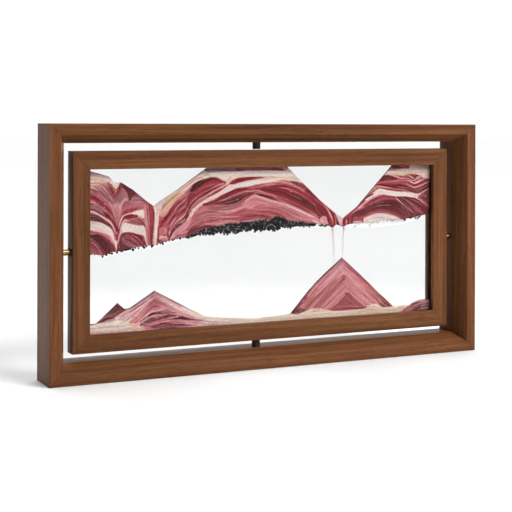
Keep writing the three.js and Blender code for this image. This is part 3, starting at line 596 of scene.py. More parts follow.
# dark wedge and the crimson under it
fill("crimson", 0.6, "-77.6,140 -75.6,147.6 -73.4,152 -68,156.4 -60,160.8 -54,164 -50,163.2 -46,161 -42.4,159.8 -45,157.8 -52,155.2 -60,151.4 -68,148 -74,143.6 -77,138.4")
fill("brick", 0.7, "-73,152 -66,156.2 -58,159 -50,160 -46,159 -52,156.6 -60,154 -68,150.4", 0.7)
line("ruby", 0.5, "-78.6,138.6,.5 -77,145,.8 -75.4,150,.6", 0.9)
line("rose", 0.4, "-68,153.4,.4 -60,156.6,.6 -54,158,.5", 0.5)
fill("soot", 0.55, "-76,152 -74,156.8 -71,159.6 -66,161.2 -60,163.1 -55,163.7 -51,163.6 -53.6,162.6 -57,161.2 -62,159.4 -66,156.8 -70,154.6 -73,152.4")
line("wine", 0.5, "-60,161,.4 -55,162.2,.7 -51,163,.4", 0.8)
line("mauve", 0.6, "-78.4,149,.8 -76.6,152.6,.9 -75,155.4,.4", 0.8)
line("maroon", 0.3, "-72,148.8,.2 -64,153,.35 -56,155.6,.5 -50,157,.3", 0.6)
# from the maroon line down to the bold cream line
fill("rose", 0.5, "-77.6,137 -73,143 -66,147.6 -58,151.4 -50,155.4 -43,159 -38,160.8 -40,157 -46,152.4 -54,147.6 -62,144.4 -70,139.6 -76,132")
line("maroon", 0.4, "-83,129,.3 -79.4,132.6,.8 -76.4,138,.9 -73,142.4,.8 -68,146.4,.7 -62,149.6,.8 -56,152.6,.7 -50,154.9,.3")
line("blush", 0.35, "-79,137,.2 -75,143,.3 -70,147.4,.4 -64,150.8,.3 -56,154.6,.35 -50,157,.5 -45,158.6,.6", 0.85)
line("pink", 0.4, "-74,139.4,.3 -66,145,.5 -58,149.4,.6 -52,152.6,.7 -46,155.6,.6", 0.8)
line("wine", 0.3, "-60,147.6,.3 -54,150.4,.5 -48,153.4,.6 -43,156.6,.4", 0.85)
line("salmon", 0.4, "-60,148.8,.3 -50,153.6,.5 -43.4,157,.6 -39,160.4,.6 -37,161.6,.3")
fill("peach", 0.6, "-43,158.6 -40.4,162.6 -37.6,164 -36.6,162 -38.6,159.6 -41,157.4", 0.9)

# crown: crust, tan bloom, crimson lens, bold cream sweep
fill("pearl", 0.7, "-62,173 -20,173.4 20,173.4 26,168 33,160 30,157.4 16,160 4,162 -10,163.4 -22,164.4 -32,163.8 -38,161.4 -44,160.8 -50,164 -58,165.4")
fill("cream", 0.8, "-58,168 -46,168.6 -30,168.4 -10,168.2 10,167.6 24,166 31,159 16,160.6 0,162.4 -14,164 -28,164 -36,162 -43,161 -50,164.2 -56,165.4", 0.85)
fill("tan", 1.0, "-14,164.4 -4,164.8 6,164.4 16,163.6 25,162 30,158.6 18,159.8 4,161.4 -8,162", 0.55)
line("straw", 0.8, "-40,161.4,.6 -38.6,163.4,1.1 -37.4,165,.5", 0.6)
line("straw", 0.6, "-34,163.6,.3 -29,164.2,.5 -23,164.6,.4", 0.5)
line("tan", 0.9, "-4,163.4,.7 1,163.6,1 4,163,.5", 0.7)
line("straw", 0.8, "19,163.2,.6 22.6,162.8,1 25,162.4,.5", 0.4)
line("salmon", 0.6, "-6,161.6,.3 2,161.2,.5 10,160.8,.5 17,160,.4", 0.5)
fill("dusk", 0.8, "-62,176 -30,176 -30,169.6 -44,169 -52,169 -62,169.4", 0.75)
line("crimson", 0.8, "-45,170.4,.5 -38,170.4,.7 -34,170.3,.4", 0.6)
line("mauve", 0.8, "-34,170.6,.9 -30,170.2,.8", 0.6)
fill("wine", 0.7, "-31,176 15,176 15,169.6 6,169 -2,169.2 -12,169.2 -22,169.6 -31,169.2", 0.85)
line("ruby", 0.5, "-6,170.4,1 2,170.4,1 8,169.9,.9 13,169.7,.6", 0.9)
line("mauve", 0.6, "-13,170.2,.6 -10.6,169.6,.8 -8,170,.4", 0.5)
line("pink", 0.8, "13,170.6,.6 16,170.8,.8 18,170.4,.4", 0.8)
fill("cream", 0.45, "-62,144.6 -56,147.6 -49,151.4 -42.6,155.2 -38.8,157.6 -34,157.8 -27,159 -19,160.6 -11,161.9 -5,162.9 3,162.2 12,160.6 8,159.4 0,158.6 -6,158 -13,157 -20,155.8 -27,155 -33,154 -38,151.8 -44,149.4 -50,146.4 -56,143.4 -62,141")
fill("shell", 0.5, "-79,127.6 -76.6,132.4 -73,137 -68,141.6 -62,145 -55,148.2 -54,145.6 -60,142.6 -67,139 -72,134.6 -75.4,129.8 -79.4,125.6")
line("blush", 0.4, "-62,142.2,.5 -56,144.6,.5 -50,147.4,.4 -44,150.6,.4", 0.7)
line("cream", 0.45, "-74,136.6,.5 -68,141,.7 -60,144.4,.8", 0.7)
fill("blush", 0.6, "-84.6,121.4 -80.6,124 -77.6,128.6 -76.4,131 -75,129 -77,124.6 -80,121", 0.8)
fill("crimson", 0.45, "-38.9,157.9 -36.4,160.4 -32.4,162.8 -28,163.4 -22,163.9 -15,163.9 -8,163.6 -3.8,163.3 -8,162.4 -14,161.2 -20,160.4 -28,159.1 -34,157.5")
line("ruby", 0.5, "-32,161.4,.8 -28,161.8,1 -22,162.4,.9 -14,162.8,.5", 0.7)
line("pink", 0.4, "-16,162,.3 -9,163,.5 -4,163.4,.3", 0.6)
line("peach", 0.5, "-12,161.2,.4 -4,162.4,.7 4,162.6,.8", 0.7)

# under the cream sweep, left of the dome
fill("wine", 0.5, "-64,141.4 -56,143.6 -50,146.6 -44,149.4 -38,152 -32,153.6 -24,154 -17,153.4 -12,153 -16,150 -24,149.6 -30,147 -38,144 -46,141.4 -54,140 -62,139.6")
line("pink", 0.3, "-56,144,.3 -48,147.8,.4 -40,151.2,.4 -32,154.2,.4 -25,155,.4", 0.7)
line("crimson", 0.5, "-60,142,.5 -54,143.6,.9 -49,144.8,.9 -44,146.4,.5", 0.9)
line("ruby", 0.5, "-48,146.8,.4 -42,149.2,.8 -36,151.2,1 -30,152.4,.9 -25,152.8,.5", 0.9)
line("rose", 0.45, "-50,142.8,.3 -44,144.4,.7 -38,146.6,.9 -31.6,149,.9 -25.4,150.8,.9 -19,151.6,.9 -15,151.2,.6")
line("brick", 0.4, "-40,147.6,.4 -33,150,.5 -26,152,.5 -20,152.8,.6 -14,152.8,.5", 0.8)
line("pink", 0.35, "-26,151.2,.3 -21,151.9,.5 -16.4,151.4,.4", 0.7)
fill("maroon", 0.5, "-52,141 -46,142 -40,144 -34,146.2 -28,148 -22,149.3 -15.4,149.3 -18,147.9 -24,146.6 -28,143.8 -33,141.6 -38,140.6 -44,140.3")
line("soot", 0.7, "-40,142.2,.6 -35,143.4,1.3 -31,144.4,1.2 -27,146.6,.6", 0.7)
line("crimson", 0.35, "-62,140.2,.3 -54,140.5,.5 -46,141.4,.4", 0.9)
fill("rose", 0.9, "-72,134 -66,138.6 -58,140 -48,139.8 -38,140 -30,141 -25,145 -19,148 -12,148 -4,145 6,140 14,132 14,127 -4,128 -30,126 -50,124 -66,124 -74,127")
fill("mauve", 1.2, "-58,138.6 -48,138.8 -38,139.8 -32,141 -27,143.4 -25,141 -30,138.4 -38,135.8 -48,135.4 -56,136.4", 0.75)
line("blush", 0.6, "-50,134.6,.4 -44,134.2,.9 -39,134.3,1.2 -34,135.4,1 -29.4,137,.8 -24,138.4,.7 -18,138.8,.4", 0.8)
line("lilac", 0.6, "-44,133.4,.4 -40,133.5,.7 -35.4,134.2,.5", 0.5)
line("brick", 0.8, "-46,131.4,.4 -38,131.6,.9 -31,133.2,1.1 -24,134.6,1 -18,134.4,.5", 0.8)
fill("mauve", 2.0, "-64,137 -56,136.6 -50,133 -52,128 -62,127 -70,130 -72,134", 0.3)
line("pink", 0.9, "-72,133.6,.6 -66,136.4,.9 -60,137.8,.8", 0.6)
line("pink", 0.5, "-66,132.4,.3 -60,133.4,.5 -52,133.2,.4 -46,132.8,.3", 0.5)
line("brick", 1.2, "-44,129.6,.5 -34,129.8,1.4 -22,131,1.7 -10,131.8,1.4 -2,131.4,.8", 0.7)
line("wine", 0.8, "-28,127.2,.4 -21,128.4,1.1 -12,129.4,1.4 -2,128.4,1.3 2,127,.5", 0.8)
line("crimson", 0.5, "-36,127.2,.3 -29,127.6,.6 -22,127.4,.5", 0.6)
line("blush", 0.35, "-32,124.8,.3 -24,125.6,.4 -15,126.7,.5 -6,126.9,.4", 0.85)
line("pink", 0.6, "-56,122.8,.5 -48,124.4,.9 -40,126,.8 -33,126,.5", 0.8)
fill("blush", 1.0, "-49,128 -46.6,128.2 -45.4,127 -47,125.8 -49,126.4", 0.8)
fill("maroon", 0.9, "-78.6,114.6 -76,119.6 -71,122.4 -63,123.6 -56,122.8 -52,123.4 -50,121 -60,118 -72,115", 0.85)
line("wine", 0.6, "-75,118.6,.4 -70,121.4,.7 -62,123,.6 -55,122.6,.3", 0.6)
line("pink", 0.5, "-62,124.4,.3 -54,124.6,.6 -47,125,.4", 0.5)

# dome and its right sweep
fill("pink", 2.2, "-27,140.6 -20,145.4 -15.4,147.6 -10,147.6 -3,144.8 5,141.6 14,139 24,135.4 34,131 42,127.6 48,124 46,122.6 36,124.6 24,126.4 12,131 0,134 -12,135 -22,137")
fill("rose", 1.2, "-14,140 -4,138.6 6,136.6 16,133 24,128 14,127 4,130 -8,131.6 -16,134", 0.8)
line("blush", 0.7, "-24,142.6,.6 -20,145.4,1 -15.4,147.3,1.2 -11,146.8,1.1 -5,144.6,.9 2,142,.8", 0.9)
line("blush", 0.5, "-3,143.4,.5 5,141.4,.8 14,139.2,.9 24,135.8,1 34,131.4,1 42,127.9,1 48,124.6,.7", 0.95)
line("shell", 0.4, "16,138,.4 26,134.4,.6 36,130,.7 43,126.8,.6", 0.8)
line("rose", 0.5, "-20,143.2,.3 -12,144,.5 -4,141.6,.6 4,138.6,.5", 0.6)
line("lilac", 0.8, "-10,142,.6 -3,140.4,.9 4,138.4,.6", 0.45)
line("mauve", 0.8, "8,136.6,.5 16,135,.9 24,131.8,.9 30,129,.6", 0.6)
line("brick", 0.9, "-10,133,.6 -2,132.6,1.2 6,131,1.1 12,129.4,.6", 0.7)
line("pink", 0.6, "20,130,.5 28,127.4,1 36,125.4,1 42,124.4,.5", 0.8)
line("rose", 0.5, "18,128.6,.3 26,126,.6 36,124,.6", 0.7)
line("shell", 0.5, "42,125,.4 46,123,.8 48.6,121,.6", 0.8)
fill("maroon", 0.35, "-14,149.6 -8,148.9 -2,147 4,145 9,143 5,143.2 -1,144.8 -6,146.4 -11,147.9")
line("soot", 0.4, "-8,148,.3 -3,146.8,.7 3,144.8,.5", 0.6)
fill("crimson", 0.7, "-17,154.4 -10,156.6 0,158.4 10,158.4 18,157.4 26,154.6 33,151 41,150 50,142 56,136.6 58,128 50,125.4 46,129 38,133.6 28,137.6 18,142 8,146 0,149.6 -8,151.6")
fill("rose", 0.7, "-17,154.2 -10,156.6 -2,158.2 4,158.6 6,156.6 -2,155.6 -10,153.6", 0.9)
line("pink", 0.4, "-6,157.6,.3 2,158.6,.6 10,159,.8 18,158,.7 24,156.2,.6 30,153.4,.5 34,151.2,.3")
line("salmon", 0.4, "2,159.4,.4 10,160,.6 16,159.2,.6", 0.8)
fill("wine", 0.6, "20,159.6 30,158 38,152.4 46,145.6 44,144.6 36,150 30,153.2 24,156.4", 0.75)
line("mauve", 0.5, "26,158.2,.3 32,156.2,.6 36,153.2,.4", 0.6)
fill("ruby", 1.0, "4,155.4 14,156 24,152.6 32,149 42,145.6 50,141 57,135.6 62,130 58,121 52,127 46,130.6 38,137 28,143.6 16,149.6 6,152.6", 0.75)
fill("maroon", 0.9, "-10,152.8 -2,152.8 6,152 14,150.4 22,149.4 30,146.4 38,141.6 44,137.6 46,133 38,135 30,139.6 20,144.6 10,148.4 0,150.4", 0.85)
line("soot", 0.7, "14,149,.4 20,147,.9 27,144.6,1.4 34,140.6,1.3 40,137,.9", 0.6)
line("crimson", 0.7, "10,154.6,.6 18,153.6,1 28,149.6,1.2 36,146.4,1.4 42,143,1", 0.8)
line("wine", 0.7, "40,146.4,.6 46,141.6,1.1 52,137,1.4 56,132.6,1.3", 0.8)
line("pink", 0.3, "-16,152.6,.4 -9.4,151.6,.45 -2,149.4,.4 4,147.2,.4 12,143.8,.35 20,140,.3", 0.85)
line("brick", 0.35, "-4,150.4,.3 4,148.2,.4 12,145.2,.5 20,141.8,.6 28,138,.7 36,134.2,.7 42,131,.5", 0.9)
line("ruby", 0.35, "0,147.6,.3 8,145.2,.5 16,142.2,.6 24,138.4,.6 32,134.8,.6 38,132.2,.4", 0.9)
line("rose", 0.35, "6,144.8,.3 14,141.6,.45 22,137.8,.5 30,134.6,.6 38,131,.6 44,128.6,.4", 0.85)
line("blush", 0.25, "19.4,150.7,.2 20.4,150.5,.35 21.4,150.6,.2", 0.8)

# neck over the two threads
fill("ruby", 0.6, "46,139 52,138 58,134.6 65,130.6 68,126 66,119 62,115 58,118 55,127 50,126 47,128")
line("wine", 0.6, "50,135,.8 55,131,1.2 58,126,1 60,120,.6", 0.8)
fill("blush", 0.5, "49.6,124.8 51.2,127.4 54,128 56.2,127 57.4,123.6 57.6,120.4 49,120.4", 0.9)
line("pink", 0.4, "52,126.4,.6 54.6,125,.8 56.4,122,.5", 0.6)
line("mauve", 0.35, "53,138.6,.3 58,135,.4 63.6,131.2,.35", 0.6)
line("salmon", 0.3, "56.6,135.4,.4 59,131.8,.5 61.2,127.6,.55 62.4,123.4,.5 62.6,120,.3", 0.9)
line("blush", 0.25, "59.6,130.8,.2 61.4,127,.3 62.2,124,.2", 0.7)
line("rose", 0.35, "58,121.6,.4 59.6,119.6,.5 61.2,118.4,.3", 0.7)
line("crimson", 0.4, "63.4,129.6,.5 64.6,124.4,.6 65,119,.5", 0.8)
line("salmon", 0.25, "65.8,127.4,.2 66.2,123.6,.3 66,120.6,.2", 0.7)
fill("stone", 0.5, "65.8,130.4 70,127.8 74,125.2 72.6,121.6 70,119.8 68.6,122.4 67,126")
fill("shell", 0.5, "67.6,126.4 70.6,124.6 72.6,122 72,118 69.6,119.4 68.2,122.6", 0.85)
line("maroon", 0.4, "66.6,124,.5 67.6,121.8,.8 68.6,120,.6")
line("pink", 0.4, "71,121.6,.5 71.8,119.4,.6 72.2,117.6,.4", 0.9)
fill("crimson", 0.4, "73.4,125.6 76.4,127 82,131.6 90,137.6 90,133 83,128 80.6,122 80,118 73.4,117.4")
line("ruby", 0.35, "74.4,124.6,.7 75,121.6,.8 75.2,118.6,.6")
line("blush", 0.35, "77,123.6,.4 76.8,121,.7 77.2,118.4,.7")
line("wine", 0.3, "79,124,.4 79.2,121.6,.5 79.2,119.4,.4")
line("pink", 0.3, "80.4,124.4,.4 80.6,121.4,.5 80.6,119.2,.4", 0.9)
line("rose", 0.4, "77.6,126.4,.4 82,129.6,.6 87,132.4,.5", 0.6)

# right block: ground and the layers of its point
fill("brick", 0.6, "80.6,118.6 82,130 90,138 104,152 122,172 172,176 172,120 130,119 96,118")
fill("wine", 0.6, "81.4,118.6 82,126 84,129.6 88,131.6 94,133.4 100,137 108,140.4 116,143 124,142.6 134,139 142,133 148,127 140,120 134,120 122,126.4 110,128.4 100,126.6 93,122 84,119")
fill("maroon", 0.9, "85,127 90,129.4 96,132 102,134.8 110,138.6 118,140.4 126,140 134,136.4 141,131.4 144,126 138,124 130,128 120,131.6 110,132.4 102,130.6 94,127 88,126")
line("soot", 1.0, "90,129.2,.6 98,131.8,1.3 108,135.4,1.6 118,136,1.8 128,134.8,1.5 136,131.4,1", 0.6)
fill("brick", 0.6, "83.6,122 84.6,126.4 88,126 92,124.4 93.4,122 88,121.4", 0.9)
fill("rust", 0.8, "83.6,124.6 85,126.6 88,126 88.4,124 85,123", 0.6)
line("crimson", 0.6, "88,124.6,.8 93,126.6,1.2 100,129.6,1.2 107,131,1.1 114,131,1.1 121,129.8,1.2 127,127.4,1.3 133,124.8,1.3 138,122.4,.8", 0.9)
line("brick", 0.5, "93.6,124.4,.4 100,127.8,.6 108,129.4,.6 116,129.4,.6 124,127.2,.6 131,124.4,.5", 0.8)
line("wine", 0.35, "92.6,128,.3 93.6,124.4,.7 93.8,121.6,.5", 0.8)
fill("cream", 0.6, "94.4,121 95.4,124.4 100,126.4 106,127.8 113,128.2 120,127.4 128,125.4 134,122.8 136,121.4 132,118 110,117.6 95,117.6")
line("blush", 0.5, "95,124.4,.3 101,126.8,.4 108,128.4,.4 116,128.4,.4 124,126.6,.5 131,124,.5", 0.8)
fill("stone", 1.2, "96,118 97,122 106,124 116,124.2 126,123 134,121.4 134,117 96,117", 0.7)
fill("pearl", 0.6, "83.6,118 84,121.6 88,122.4 93,121.6 94.4,117.6", 0.85)
line("blush", 0.5, "84,121.6,.3 88,122,.5 92.6,121.4,.4", 0.6)
line("pink", 0.5, "82.4,130,.3 86.4,132.4,.7 91,133.8,.6 95,135,.4", 0.8)
line("wine", 0.4, "81.8,127,.6 82.6,122.6,.8 82.8,119,.6")
# arcs over the dome of the right block
line("rose", 0.5, "100,137,.4 106,139.2,.8 112,141.2,.9 119,142.3,.9 126,141.4,.7", 0.8)
line("crimson", 0.5, "102,137,.4 108,139.4,.7 116,141.2,.8 123,141.3,.8 129,139.6,.5", 0.8)
line("rose", 0.4, "108,137.4,.3 112,138.6,.5 116,139,.3", 0.5)
fill("maroon", 0.6, "128,143.6 136,143.2 144,142.4 150,141 156,137.8 163,132.4 168,130 170,126 158,124 148,126 143.4,130 137,135.6 131,140", 0.9)
line("ash", 0.6, "133,141,.6 139,137,1 145,131.8,1 148.4,128.6,.6", 0.6)
line("brick", 0.7, "147,137,.6 152,132.6,1.3 156.6,128.6,1.4 160,126.6,.8", 0.85)
line("brick", 0.6, "140,134.4,.4 145.6,130.4,.9 150,127.2,.7", 0.8)
line("crimson", 0.6, "134,126.6,.6 138,124.4,1.1 141,124.6,.7", 0.8)
line("pink", 0.3, "128.6,142.8,.3 132,140.2,.4 136.4,136.6,.4 141,132.8,.4 145.6,129.4,.3", 0.9)
line("blush", 0.25, "129.4,142.2,.2 133,139.4,.3 136,137,.2", 0.8)
line("pink", 0.3, "136,142.4,.3 140,139.6,.4 145,135.4,.4 149.6,131,.4 152.4,128.4,.3", 0.75)
line("rose", 0.35, "141,140.6,.3 146,136.6,.5 151,131.8,.5 155,128.6,.3", 0.7)
line("soot", 0.4, "132,142.4,.3 137,138.4,.5 142,134,.4", 0.5)
line("wine", 0.35, "131,143.2,.3 138,142.8,.5 144,142.2,.4", 0.6)
# cream band and its fork
fill("cream", 0.45, "97,143.4 103,146.4 108,149.6 112,151 117,150.6 122,149.5 130,148.6 140,147.8 147,146.6 152,145.9 156.4,146.8 153.4,144 152,141.8 146,142.7 138,143.5 130,143.8 122,144.6 115,145.5 108,145.2 102,143.2 97,140.6")
fill("shell", 0.5, "90,134.6 96,139.4 103,143.6 110,146.2 110,144.6 104,142.4 97,138.4 91,134", 0.95)
line("blush", 0.4, "88.4,134.2,.4 93.6,137.4,.7 99,141,.8 105,144,.8 111,145.6,.7 118,145.6,.5", 0.9)
line("blush", 0.5, "100,148.6,.4 104,151,.8 109,152.6,1 114,152.6,.8", 0.8)
line("lilac", 0.6, "99,146.6,.5 104,149.6,.9 108,151,.6", 0.5)
line("wine", 0.35, "87,134.8,.3 91,138,.5 96,142,.7 101,144.9,.7 105,146.2,.4")
line("maroon", 0.35, "88,136,.4 94,142,.6 100,148,.6 105.6,153.4,.6 111,158.4,.5", 0.9)
line("mauve", 0.4, "97,144.6,.4 101,148,.6 105,151.6,.5", 0.7)
line("maroon", 0.3, "95,137,.3 100,139.6,.5 105,141.6,.5 109.6,143,.4", 0.9)
line("wine", 0.3, "98,136.4,.3 103,139.4,.4 108,141.4,.5 113,142.6,.4", 0.85)
line("pink", 0.25, "97,137.6,.25 102,140.2,.3 107,142,.3 112,143.6,.3", 0.8)
line("ash", 0.3, "112,145,.25 117,144.9,.4 122,144,.4 127,143,.3", 0.8)
fill("plum", 0.6, "153.4,143.6 158,146 163,148.4 170,152 170,134 163,135.6 158.4,139.4 154.6,142", 0.9)
fill("wine", 0.9, "154.4,143.2 160,146 164,145 163,139.6 160,138.6", 0.7)
line("blush", 0.4, "149.6,143.4,.6 154,145.2,.8 159,148,.8 165,151.6,.7 169,153.6,.5")
line("shell", 0.35, "148,143.8,.6 152,144.6,.6 156,146.4,.5", 0.8)
line("pink", 0.35, "149.4,142.4,.4 153,140.6,.6 157,138,.5 160.6,135.4,.4 164,132.4,.3")
line("blush", 0.3, "150,142,.4 154,139.8,.4 158,136.8,.3", 0.8)
line("maroon", 0.6, "160,135,.4 163.6,132,.9 167,129.6,.9", 0.8)
# dark band over the cream band, and its V
fill("rose", 0.6, "104,152.6 110,154 117,153 126,151.6 136,150.6 142,149.6 148,148 146,147 138,148 128,149 118,150.6 110,151.4")
line("salmon", 0.4, "106,152.8,.4 111,153.4,.7 117,152.6,.7 123,151.6,.4", 0.8)
line("wine", 0.3, "113,151.4,.3 121,150.2,.4 130,149.2,.5 140,148.4,.4", 0.9)
fill("maroon", 0.5, "106.4,155 112,155.8 119,155.6 127,154.6 136,154.4 141,152.6 146,150.8 150,150.4 155,152 161,154.6 168,157.6 168,152.6 161,149.6 155,147 151,146.4 146,147.6 140,150 133,151 126,151.6 118,153 111,154")
line("ruby", 0.4, "110,154.9,.4 116,154.9,.6 123,154.2,.7 130,153.6,.6 136,153.2,.4", 0.95)
line("rust", 0.35, "118,155.2,.3 123,154.6,.4 128,154,.3", 0.6)
line("soot", 0.6, "131,152.6,.5 137,152.2,.9 143,150.4,1.1 148,149,1", 0.7)
line("ash", 0.7, "148,148.4,.6 153,148.2,1 158,149.8,.8", 0.5)
line("mauve", 0.35, "126,150.6,.3 134,149.8,.4 142,148.8,.4 148,147.4,.3", 0.6)
# layers over that, to the crust
fill("brick", 0.7, "107,157.2 112,158.4 120,158 130,157 138,158 142,157 146,154.6 148.6,153.4 152,154.6 158,157 166,160 168,157.8 160,154.4 154,152.4 149.4,151 146,151.4 141,153.4 134,155 124,155.6 114,156")
line("rose", 0.5, "108,155.8,.4 115,157,.8 122,157.2,.8 130,157.4,.9 137,158.6,1 141,157.6,.7", 0.9)
line("crimson", 0.5, "144,156,.5 148.4,153.6,.9 153,154.8,1 159,157,1.1 165,159.2,.9", 0.95)
line("pink", 0.3, "140,155.4,.3 144.6,153.2,.4 148.6,151.5,.5 153,152.2,.5 159,154.4,.5 166,157.2,.4", 0.9)
fill("maroon", 0.5, "111.6,159 114,161.8 117.4,163.4 122,163.4 127,162 131,160.2 128,158.8 122,158 116,157.8")
line("ash", 0.6, "117,160,.5 122,160,.9 127,159.8,.6", 0.5)
line("crimson", 0.5, "111,156.8,.4 115,158.2,.6 119,158.2,.5", 0.6)
line("pink", 0.3, "116,158.6,.3 124,157.9,.35 132,158,.3", 0.5)
fill("rose", 0.6, "122,163.8 128,162.6 134,161.2 141,161.4 144,160 140,158.6 134,159 128,160.4", 0.8)
line("blush", 0.35, "112.6,161.6,.3 117,164,.5 123,164,.6 128,162.6,.5 133,160.6,.5 140,160.2,.4")
line("blush", 0.4, "126,164,.4 132,162.8,.6 138,162.6,.5", 0.7)
line("crimson", 0.4, "133,162,.3 138,161.6,.5 142,161.8,.5 146,160.6,.3", 0.8)
# chevrons
line("wine", 0.3, "141,163.4,.3 144.4,163.2,.5 147.6,161.8,.55 150,160.6,.4")
line("wine", 0.3, "149.6,162.8,.3 152.4,162.4,.5 155,161.8,.4")
line("blush", 0.25, "140,162.4,.3 144,161.9,.35 147.6,160,.4 150,159.8,.35 153.4,161,.35 157,162,.3")
line("wine", 0.25, "142,161.4,.3 145.4,160.4,.45 148,159.4,.4 150.6,160.4,.3")
line("maroon", 0.3, "142,159.4,.3 145.6,158,.45 148.4,156.6,.5 151.6,157.8,.5 156,159.4,.4 160,160.4,.3")
line("blush", 0.25, "141.4,160.2,.3 145,158.9,.35 148.2,157.8,.4 151.6,158.9,.4 156,160.4,.35")
line("shell", 0.25, "141,158.4,.25 145,156.9,.35 148.6,155.3,.45 152.6,156.6,.45 157,158.6,.4 161,160,.3")
line("wine", 0.25, "143,157,.25 146,155.6,.35 148.8,154.6,.35 152,155.4,.3", 0.9)
# crust of the right block
fill("pearl", 0.6, "117,165.4 124,170 132,169.4 145,169.6 156,169 170,169.6 170,160.6 160,160.2 155,162.4 149,163.8 142,163.6 136,162.8 128,163.8 122,164.6")
fill("tan", 0.9, "119,166.4 126,167.4 136,167 146,167.4 158,167 164,166 156,164.6 148,164.8 140,164.2 130,164.2 123,164.8", 0.85)
fill("shell", 0.8, "154,164 160,165 168,165 168,160.6 160,160.6 156,162.4", 0.9)
line("straw", 0.35, "124,165.2,.3 132,164.9,.5 140,165.1,.5 148,165.6,.5 156,165.3,.5 162,165.3,.3", 0.8)
line("olive", 0.3, "138,164.6,.2 143,165.2,.35 148,165.6,.35 152,165.4,.2", 0.5)
fill("mauve", 0.9, "119,168 124,173 170,174.6 170,168.6 158,168.8 146,169.4 134,168.6 126,168.2", 0.75)
line("lilac", 0.7, "146,170,.8 154,169.4,1 160,168.6,.6", 0.7)
fill("wine", 0.5, "123.6,174 144,174 142,170.6 136,170 130,169.7 125.6,170.2", 0.95)
line("soot", 0.4, "127,170.9,.5 133,170.5,.6 139,170.9,.4", 0.7)
fill("pearl", 0.9, "146,168 168,168 168,177 146,177 144,172", 0.85)
line("stone", 0.5, "146,169.4,.4 156,169.2,.5 166,169,.4", 0.6)
line("wine", 0.4, "150,172.6,.4 158,172.4,.4 162,172.4,.3", 0.45)
line("olive", 0.35, "157.2,166.4,.3 158,166.2,.45", 0.8)
line("olive", 0.3, "152,165.6,.25 152.8,165.4,.35", 0.7)
line("maroon", 0.3, "107,154.4,.3 112,159.8,.4 118.6,166.4,.35 124,171.6,.3", 0.7)
line("wine", 0.7, "166.6,150,.4 167,140,.6 167,130,.6", 0.4)

# the lie of the layers over the raft
line("rose", 0.5, "-79,120.6,.3 -70.6,128.4,.4 -60,132.2,.5 -48,133,.5 -36,133.8,.4", 0.4)
line("blush", 0.35, "-76.4,121.6,.2 -68,126.4,.35 -56.6,129.6,.4 -44,130,.4 -30,130.4,.3", 0.45)
line("mauve", 0.4, "-74,120.6,.2 -66,125.4,.35 -54,127.4,.45 -42,127.6,.4 -28,128,.4 -14,128.8,.3", 0.4)
line("pink", 0.35, "-70,121.4,.2 -62,124,.4 -50,125,.4 -40,125.6,.3", 0.5)
line("wine", 0.3, "-73,124.4,.15 -64,128.2,.25 -52,129.2,.25 -40,129,.2", 0.35)

# ---- left dune
block("blush", 0.8, "-172,32 -172,75 -52,75 -52,32")
fill("oat", 1.2, "-172,46.6 -160,45.6 -150,47 -140,49.4 -132,50.4 -127,47.6 -122.6,44.2 -118,40 -118,34 -140,33 -172,33")
fill("peach", 1.8, "-128,46 -124,45 -118,41 -114,37.4 -118,34.4 -126,36 -130,40", 0.65)
fill("shell", 1.6, "-168,41 -150,41.6 -138,41 -128,40 -126,36 -168,35.6", 0.5)
line("blush", 0.7, "-166,37.2,.5 -148,37.6,.6 -132,37.4,.5", 0.5)
line("straw", 0.8, "-166,41.4,.3 -158,41.6,.5 -150,42.4,.3", 0.35)
line("stone", 0.6, "-168,45,.4 -160,44.8,.4 -154,45.8,.3", 0.6)
fill("lilac", 1.0, "-140,48.6 -132,54.4 -124,57.6 -116,62 -107.6,67.6 -104,65 -112,60 -120,55 -127,50 -131,46.6 -138,47", 0.75)
line("shell", 0.6, "-134,50,.6 -127,53.2,1 -119,57.6,1 -112,61.8,.8 -107,64.6,.6", 0.7)
fill("mauve", 0.5, "-133,55.8 -128,57.4 -120,62.4 -112,67.4 -107.4,70.6 -105.6,68.4 -112,64.6 -120,60 -127,56.4", 0.95)
line("ash", 0.4, "-132,56,.5 -126,58.4,.6 -118,63.4,.7 -111,67.6,.6 -107.5,69.6,.4", 0.9)
line("pink", 0.35, "-128,55.4,.3 -120,59.4,.4 -112,64,.4 -107.4,66.8,.4", 0.6)
for k in range(9):
    ply(("lilac", "pink", "mauve", "shell")[k % 4], 0.3, ((-140, 46.6), (-132, 52), (-120, 61), (-107.5, 69.8)), 2.6 + 1.25 * k, 0.0, 0.28, 0.42, 44)
fill("blush", 0.6, "-126,48 -119,54.6 -112,60.4 -107,63.6 -102,62 -96,58.6 -88,55 -80,50.6 -88,51 -98,55 -107,59 -116,54 -124,46", 0.9)
fill("pink", 1.0, "-126.6,45.4 -121,51.4 -114,57.6 -107,61.8 -100,58.8 -93,55.6 -86,52.4 -92,52.6 -98,54 -107,53.6 -112,52 -118,48 -124,43.6", 0.95)
fill("rose", 1.4, "-120,48.6 -115,54 -109,59.4 -106.6,60.8 -102,58.4 -101,56 -104,54.4 -110,53.4 -116,49.4", 0.8)
line("brick", 0.8, "-117,51.4,.4 -111,56,1 -106,56.6,1 -101,55.6,.5", 0.55)
line("mauve", 0.6, "-114,57,.4 -109.6,60.2,.9 -106.6,61.2,.9 -102.6,59.8,.7 -97,57.4,.3", 0.85)
line("wine", 0.4, "-110.6,59.6,.2 -107.6,61.2,.5 -104.6,60.4,.3", 0.6)
line("salmon", 0.8, "-129,44.6,.6 -125,45.6,1.2 -121.6,47.6,.9 -118,50,.4", 0.8)
line("peach", 0.7, "-130,43,.5 -126,42.4,1 -122,42.6,.8", 0.8)
line("salmon", 0.5, "-104,57.6,.4 -98,56,.9 -91,53.6,1 -84,50.4,.8 -76,46.8,.5", 0.6)
